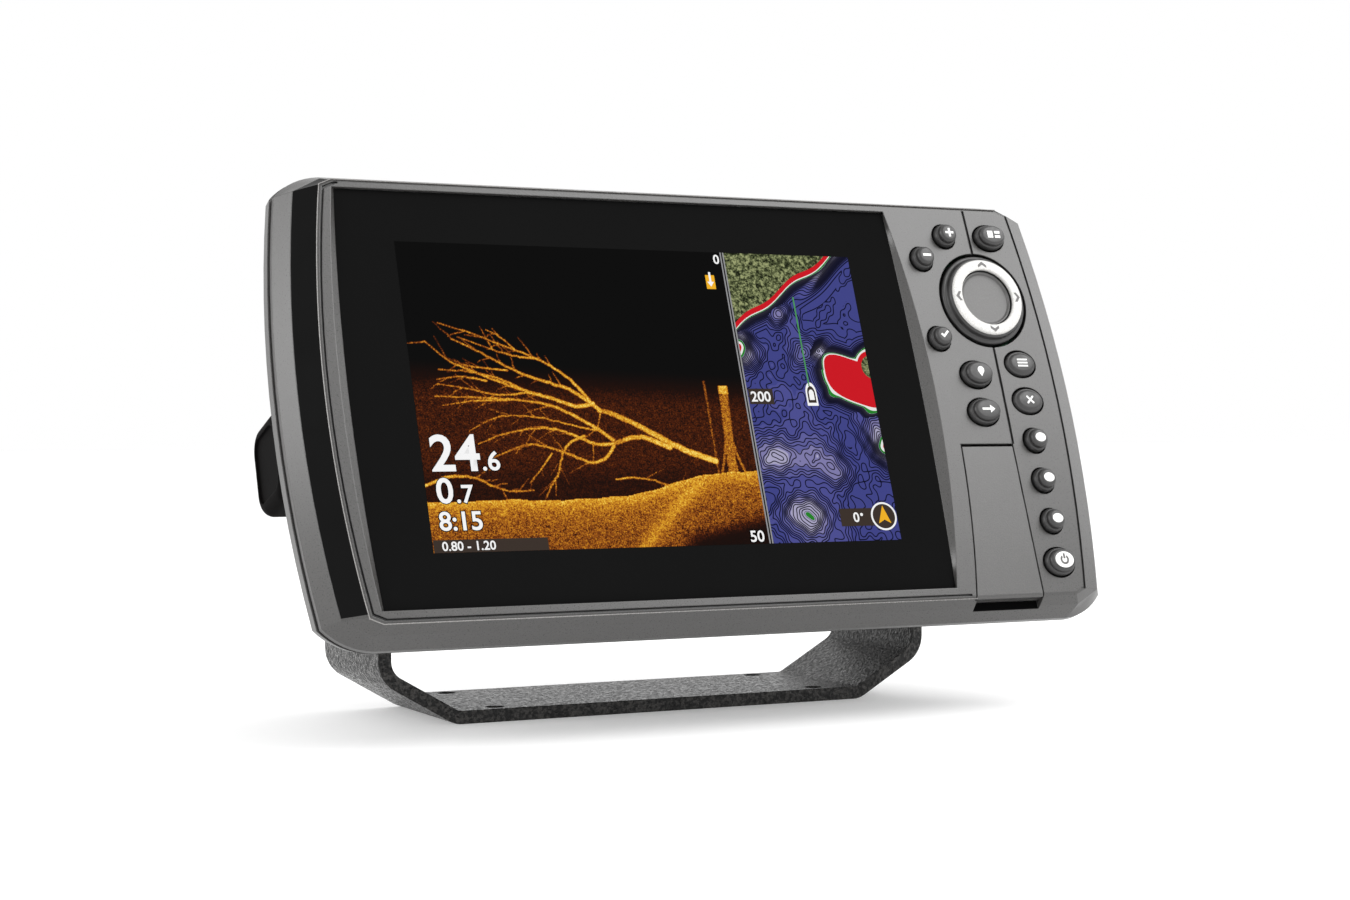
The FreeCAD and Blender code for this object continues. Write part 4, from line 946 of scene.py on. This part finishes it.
def cursor_control():
    """Rounded versions of the pad, the white ring and the dished centre."""
    low, high = local_spread("cursor_pad")
    ring_low, ring_high = local_spread("cursor_ring")
    mid_low, mid_high = local_spread("cursor_centre")
    centre = ((ring_low[0] + ring_high[0]) / 2, (ring_low[2] + ring_high[2]) / 2)
    outer = (high[0] - low[0]) / 2
    ring_outer, top = (ring_high[0] - ring_low[0]) / 2, ring_low[1]
    inner, dish = (mid_high[0] - mid_low[0]) / 2, mid_low[1]
    hole = inner + 0.22
    ledge = PANEL_FRONT - 0.5
    skirt = [
        (ring_outer - 1.0, ring_high[1]), (ring_outer + 0.05, top + 0.75), (ring_outer + 0.75, top + 1.1),
        (ring_outer + 1.1, ledge - 0.1), (outer - 0.3, ledge), (outer, ledge + 1.0), (outer, 2.0),
    ]
    floor = [(0.0, dish + 1.3), (inner * 0.9, dish + 1.3), (inner + 0.3, dish + 1.2)]
    pad_piece = cursor_part("cursor_skirt", floor + fillet(skirt, 0.5), centre, outer, "key_rubber")
    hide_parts("cursor_pad")
    ring = [
        (hole, ring_high[1]), (hole, top + 0.4), (hole + 0.25, top + 0.06), (hole + 0.9, top),
        (ring_outer - 1.1, top), (ring_outer - 0.3, top + 0.14), (ring_outer, top + 0.6),
        (ring_outer, ring_high[1]),
    ]
    rounded = fillet(ring, 0.3)
    ring_piece = cursor_part("cursor_ring_face", rounded, centre, ring_outer, "ring_white", hollow=True)
    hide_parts("cursor_ring")
    bowl = [(0.0, dish + 0.75)]
    bowl += [(r, dish + 0.75 - 0.1 * (r / inner) ** 2) for r in np.linspace(1.5, inner - 1.1, 8)]
    lip = [
        (inner - 1.0, dish + 0.65), (inner - 0.75, dish + 0.1), (inner - 0.1, dish + 0.02),
        (inner, mid_high[1]),
    ]
    bowl_piece = cursor_part("cursor_dish", bowl + fillet(lip, 0.25), centre, inner, "centre_grey")
    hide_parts("cursor_centre")
    cursor_arrows(centre, (hole + ring_outer) / 2, top - INK_PROUD)


def cursor_arrows(centre, middle, depth):
    """Four grey chevrons on the white ring that point outwards, drawn in two halves each."""
    tip, wing = 0.95, 1.6
    for i, (ux, uz) in enumerate(((0, 1), (1, 0), (0, -1), (-1, 0))):
        bm = bmesh.new()
        for side in (-1, 1):
            points = []
            for along, across in ((tip, 0.0), (-tip * 0.3, wing), (-tip * 1.25, wing), (-tip * 0.2, 0.0)):
                a, c = middle + along, side * across
                points.append((centre[0] + ux * a + uz * c, centre[1] + uz * a - ux * c))
            plate(bm, points, depth, 0.1)
        finish_mesh(f"cursor_arrow_{i + 1}", bm, "cursor", SYMBOL_GREY, smooth=False)


# ---- casing details
NOTCH_BACK = 3.34           # depth of the notch behind the cover glass's face
DOOR_LEFT = local_spread("card_door")[0][0]
PANEL_HALF_MIDDLE = 122.6   # half the front panel's width, halfway up
PANEL_HALF_END = 117.4      # the same, at its top and bottom corners
PANEL_BOTTOM, PANEL_TOP = -66.4, 65.0
CORNER_X, CORNER_Z = 3.6, 1.6       # the corners' small slanting cuts


def panel_edge(steps=28):
    """Points down the bowed left edge of the front panel, and how far out its corner cuts begin."""
    sag = PANEL_HALF_MIDDLE - PANEL_HALF_END
    rise = (PANEL_TOP - PANEL_BOTTOM) / 2 - CORNER_Z
    radius = (rise * rise + sag * sag) / (2 * sag)
    middle = (PANEL_BOTTOM + PANEL_TOP) / 2
    left = []
    for i in reversed(range(steps + 1)):
        z = (PANEL_BOTTOM + CORNER_Z) + (PANEL_TOP - PANEL_BOTTOM - 2 * CORNER_Z) * i / steps
        left.append((-(PANEL_HALF_MIDDLE - radius + math.sqrt(radius ** 2 - (z - middle) ** 2)), z))
    return left, PANEL_HALF_END - CORNER_X


def notch_shade_sheet():
    """A black sheet at the back of the finger notch under the card door: painted shade."""
    low, high = local_spread("card_door")
    outline = rectangle(low[0] + 0.3, high[0] + 0.2, low[2] - 2.7, low[2] - 0.05)
    flat_mark("notch_shade_sheet", [outline], NOTCH_SHADE_BLACK, NOTCH_BACK, thickness=0.04)


def panel_highlight_bead():
    """A bead along the front panel's edge: top, left side and bottom, coloured paler than the casing as a painted
    highlight.
    """
    low, high = local_spread("front_bezel")
    x_mid = (low[0] + high[0]) / 2
    left, inset = panel_edge()
    route = [(inset, PANEL_TOP), (-inset, PANEL_TOP)] + left
    route += [(-inset, PANEL_BOTTOM), (DOOR_LEFT - x_mid, PANEL_BOTTOM)]
    width, rise, inward = 0.2, 0.04, 0.25
    section = ((-width, 0.32), (-width * 0.5, -rise * 0.2), (width * 0.3, 0.0), (width, 0.45), (0.0, 0.7))
    bm = bmesh.new()
    rings = []
    for i, (x, z) in enumerate(route):
        before, after = route[max(i - 1, 0)], route[min(i + 1, len(route) - 1)]
        along = (Vector(after) - Vector(before)).normalized()
        out = Vector((along.y, -along.x)) * -1
        ring = []
        for aside, depth in section:
            reach = aside - inward
            ring.append(bm.verts.new((x_mid + x + out.x * reach, PANEL_FRONT + depth, z + out.y * reach)))
        rings.append(ring)
    for first, second in zip(rings, rings[1:]):
        for i in range(len(section)):
            j = (i + 1) % len(section)
            bm.faces.new((first[i], first[j], second[j], second[i]))
    bm.faces.new(rings[0])
    bm.faces.new(rings[-1])
    finish_mesh("panel_edge_highlight_bead", bm, "head", EDGE_HIGHLIGHT_GREY)


# ---- stage, light and camera
FLOOR_REACH = 12.0          # the floor runs far enough for no edge of it to show
FLOOR_GLOW = 0.27           # a little light of its own, which keeps the paper's white even
HEAD_MIDDLE = Vector((0, -0.05, 0.09))
LIGHT_AWAY = 1.3            # distance of each softbox from the head
SOFTBOXES = (               # name, bearing and height in degrees, width and height in metres, glow
    ("key", 50, 42, 0.95, 0.7, 4.5),
    ("left_side", -85, 24, 0.8, 0.6, 4.5),
    ("right_side", 100, 16, 0.5, 0.5, 1.5),
)
EYE = Vector((-0.3120, -0.6651, 0.0876))
EYE_AZIMUTH, EYE_ELEVATION, EYE_ROLL = (math.radians(angle) for angle in (-26.27, 0.43, -0.26))
LENS_MM, SENSOR_MM = 60.21, 36.0


def stage():
    """A plain pale floor."""
    bm = bmesh.new()
    corners = [(FLOOR_REACH * x, FLOOR_REACH * y, 0) for x, y in ((-1, -1), (1, -1), (1, 1), (-1, 1))]
    bm.faces.new([bm.verts.new(corner) for corner in corners])
    mesh = bpy.data.meshes.new("studio_floor")
    bm.to_mesh(mesh)
    bm.free()
    floor = bpy.data.objects.new("studio_floor", mesh)
    SCENE.collection.objects.link(floor)
    n = Nodes("floor_paper")
    paper = n.mix(n.noise(30, 3.0), (0.8, 0.8, 0.8), (0.83, 0.83, 0.83))
    n.give("Base Color", paper)
    n.give("Emission Color", (1, 1, 1, 1))
    n.give("Emission Strength", FLOOR_GLOW)
    n.give("Roughness", 0.75)
    n.give("Specular IOR Level", 0.2)
    mesh.materials.append(n.material)


def softbox(name, bearing, height, width, tall, glow):
    """A soft light aimed at the head. Bearing runs from straight ahead of the screen towards its right."""
    b, h = math.radians(bearing), math.radians(height)
    towards = Vector((math.sin(b) * math.cos(h), -math.cos(b) * math.cos(h), math.sin(h)))
    data = bpy.data.lights.new(name, "AREA")
    data.shape = "RECTANGLE"
    data.size, data.size_y = width, tall
    data.energy = glow * math.pi * width * tall
    lamp = bpy.data.objects.new(name, data)
    lamp.location = HEAD_MIDDLE + towards * LIGHT_AWAY
    lamp.rotation_euler = towards.to_track_quat("Z", "Y").to_euler()
    SCENE.collection.objects.link(lamp)


def lights():
    """White surroundings, a large key light from the upper right and a softer one from each side."""
    world = bpy.data.worlds.new("studio")
    world.use_nodes = True
    world.node_tree.nodes["Background"].inputs["Color"].default_value = (1, 1, 1, 1)
    world.node_tree.nodes["Background"].inputs["Strength"].default_value = 1.0
    SCENE.world = world
    for box in SOFTBOXES:
        softbox(*box)
    SCENE.view_settings.view_transform = "Standard"


def camera():
    """The view that the object is shown from: low, a little to its left."""
    level = math.cos(EYE_ELEVATION)
    back = Vector((math.sin(EYE_AZIMUTH) * level, -math.cos(EYE_AZIMUTH) * level, math.sin(EYE_ELEVATION)))
    right = Vector((math.cos(EYE_AZIMUTH), math.sin(EYE_AZIMUTH), 0))
    up = back.cross(right)
    turned_right = right * math.cos(EYE_ROLL) + up * math.sin(EYE_ROLL)
    turned_up = up * math.cos(EYE_ROLL) - right * math.sin(EYE_ROLL)
    data = bpy.data.cameras.new("camera")
    data.lens = LENS_MM
    data.sensor_width = SENSOR_MM
    data.clip_start = 0.01
    eye = bpy.data.objects.new("camera", data)
    matrix = Matrix((turned_right, turned_up, back)).transposed().to_4x4()
    matrix.translation = EYE
    eye.matrix_world = matrix
    SCENE.collection.objects.link(eye)
    SCENE.camera = eye


dress_cad_nodes()
screen()
for key_name in KEYS:
    key_cap(key_name)
cursor_control()
notch_shade_sheet()
panel_highlight_bead()
stage()
lights()
camera()
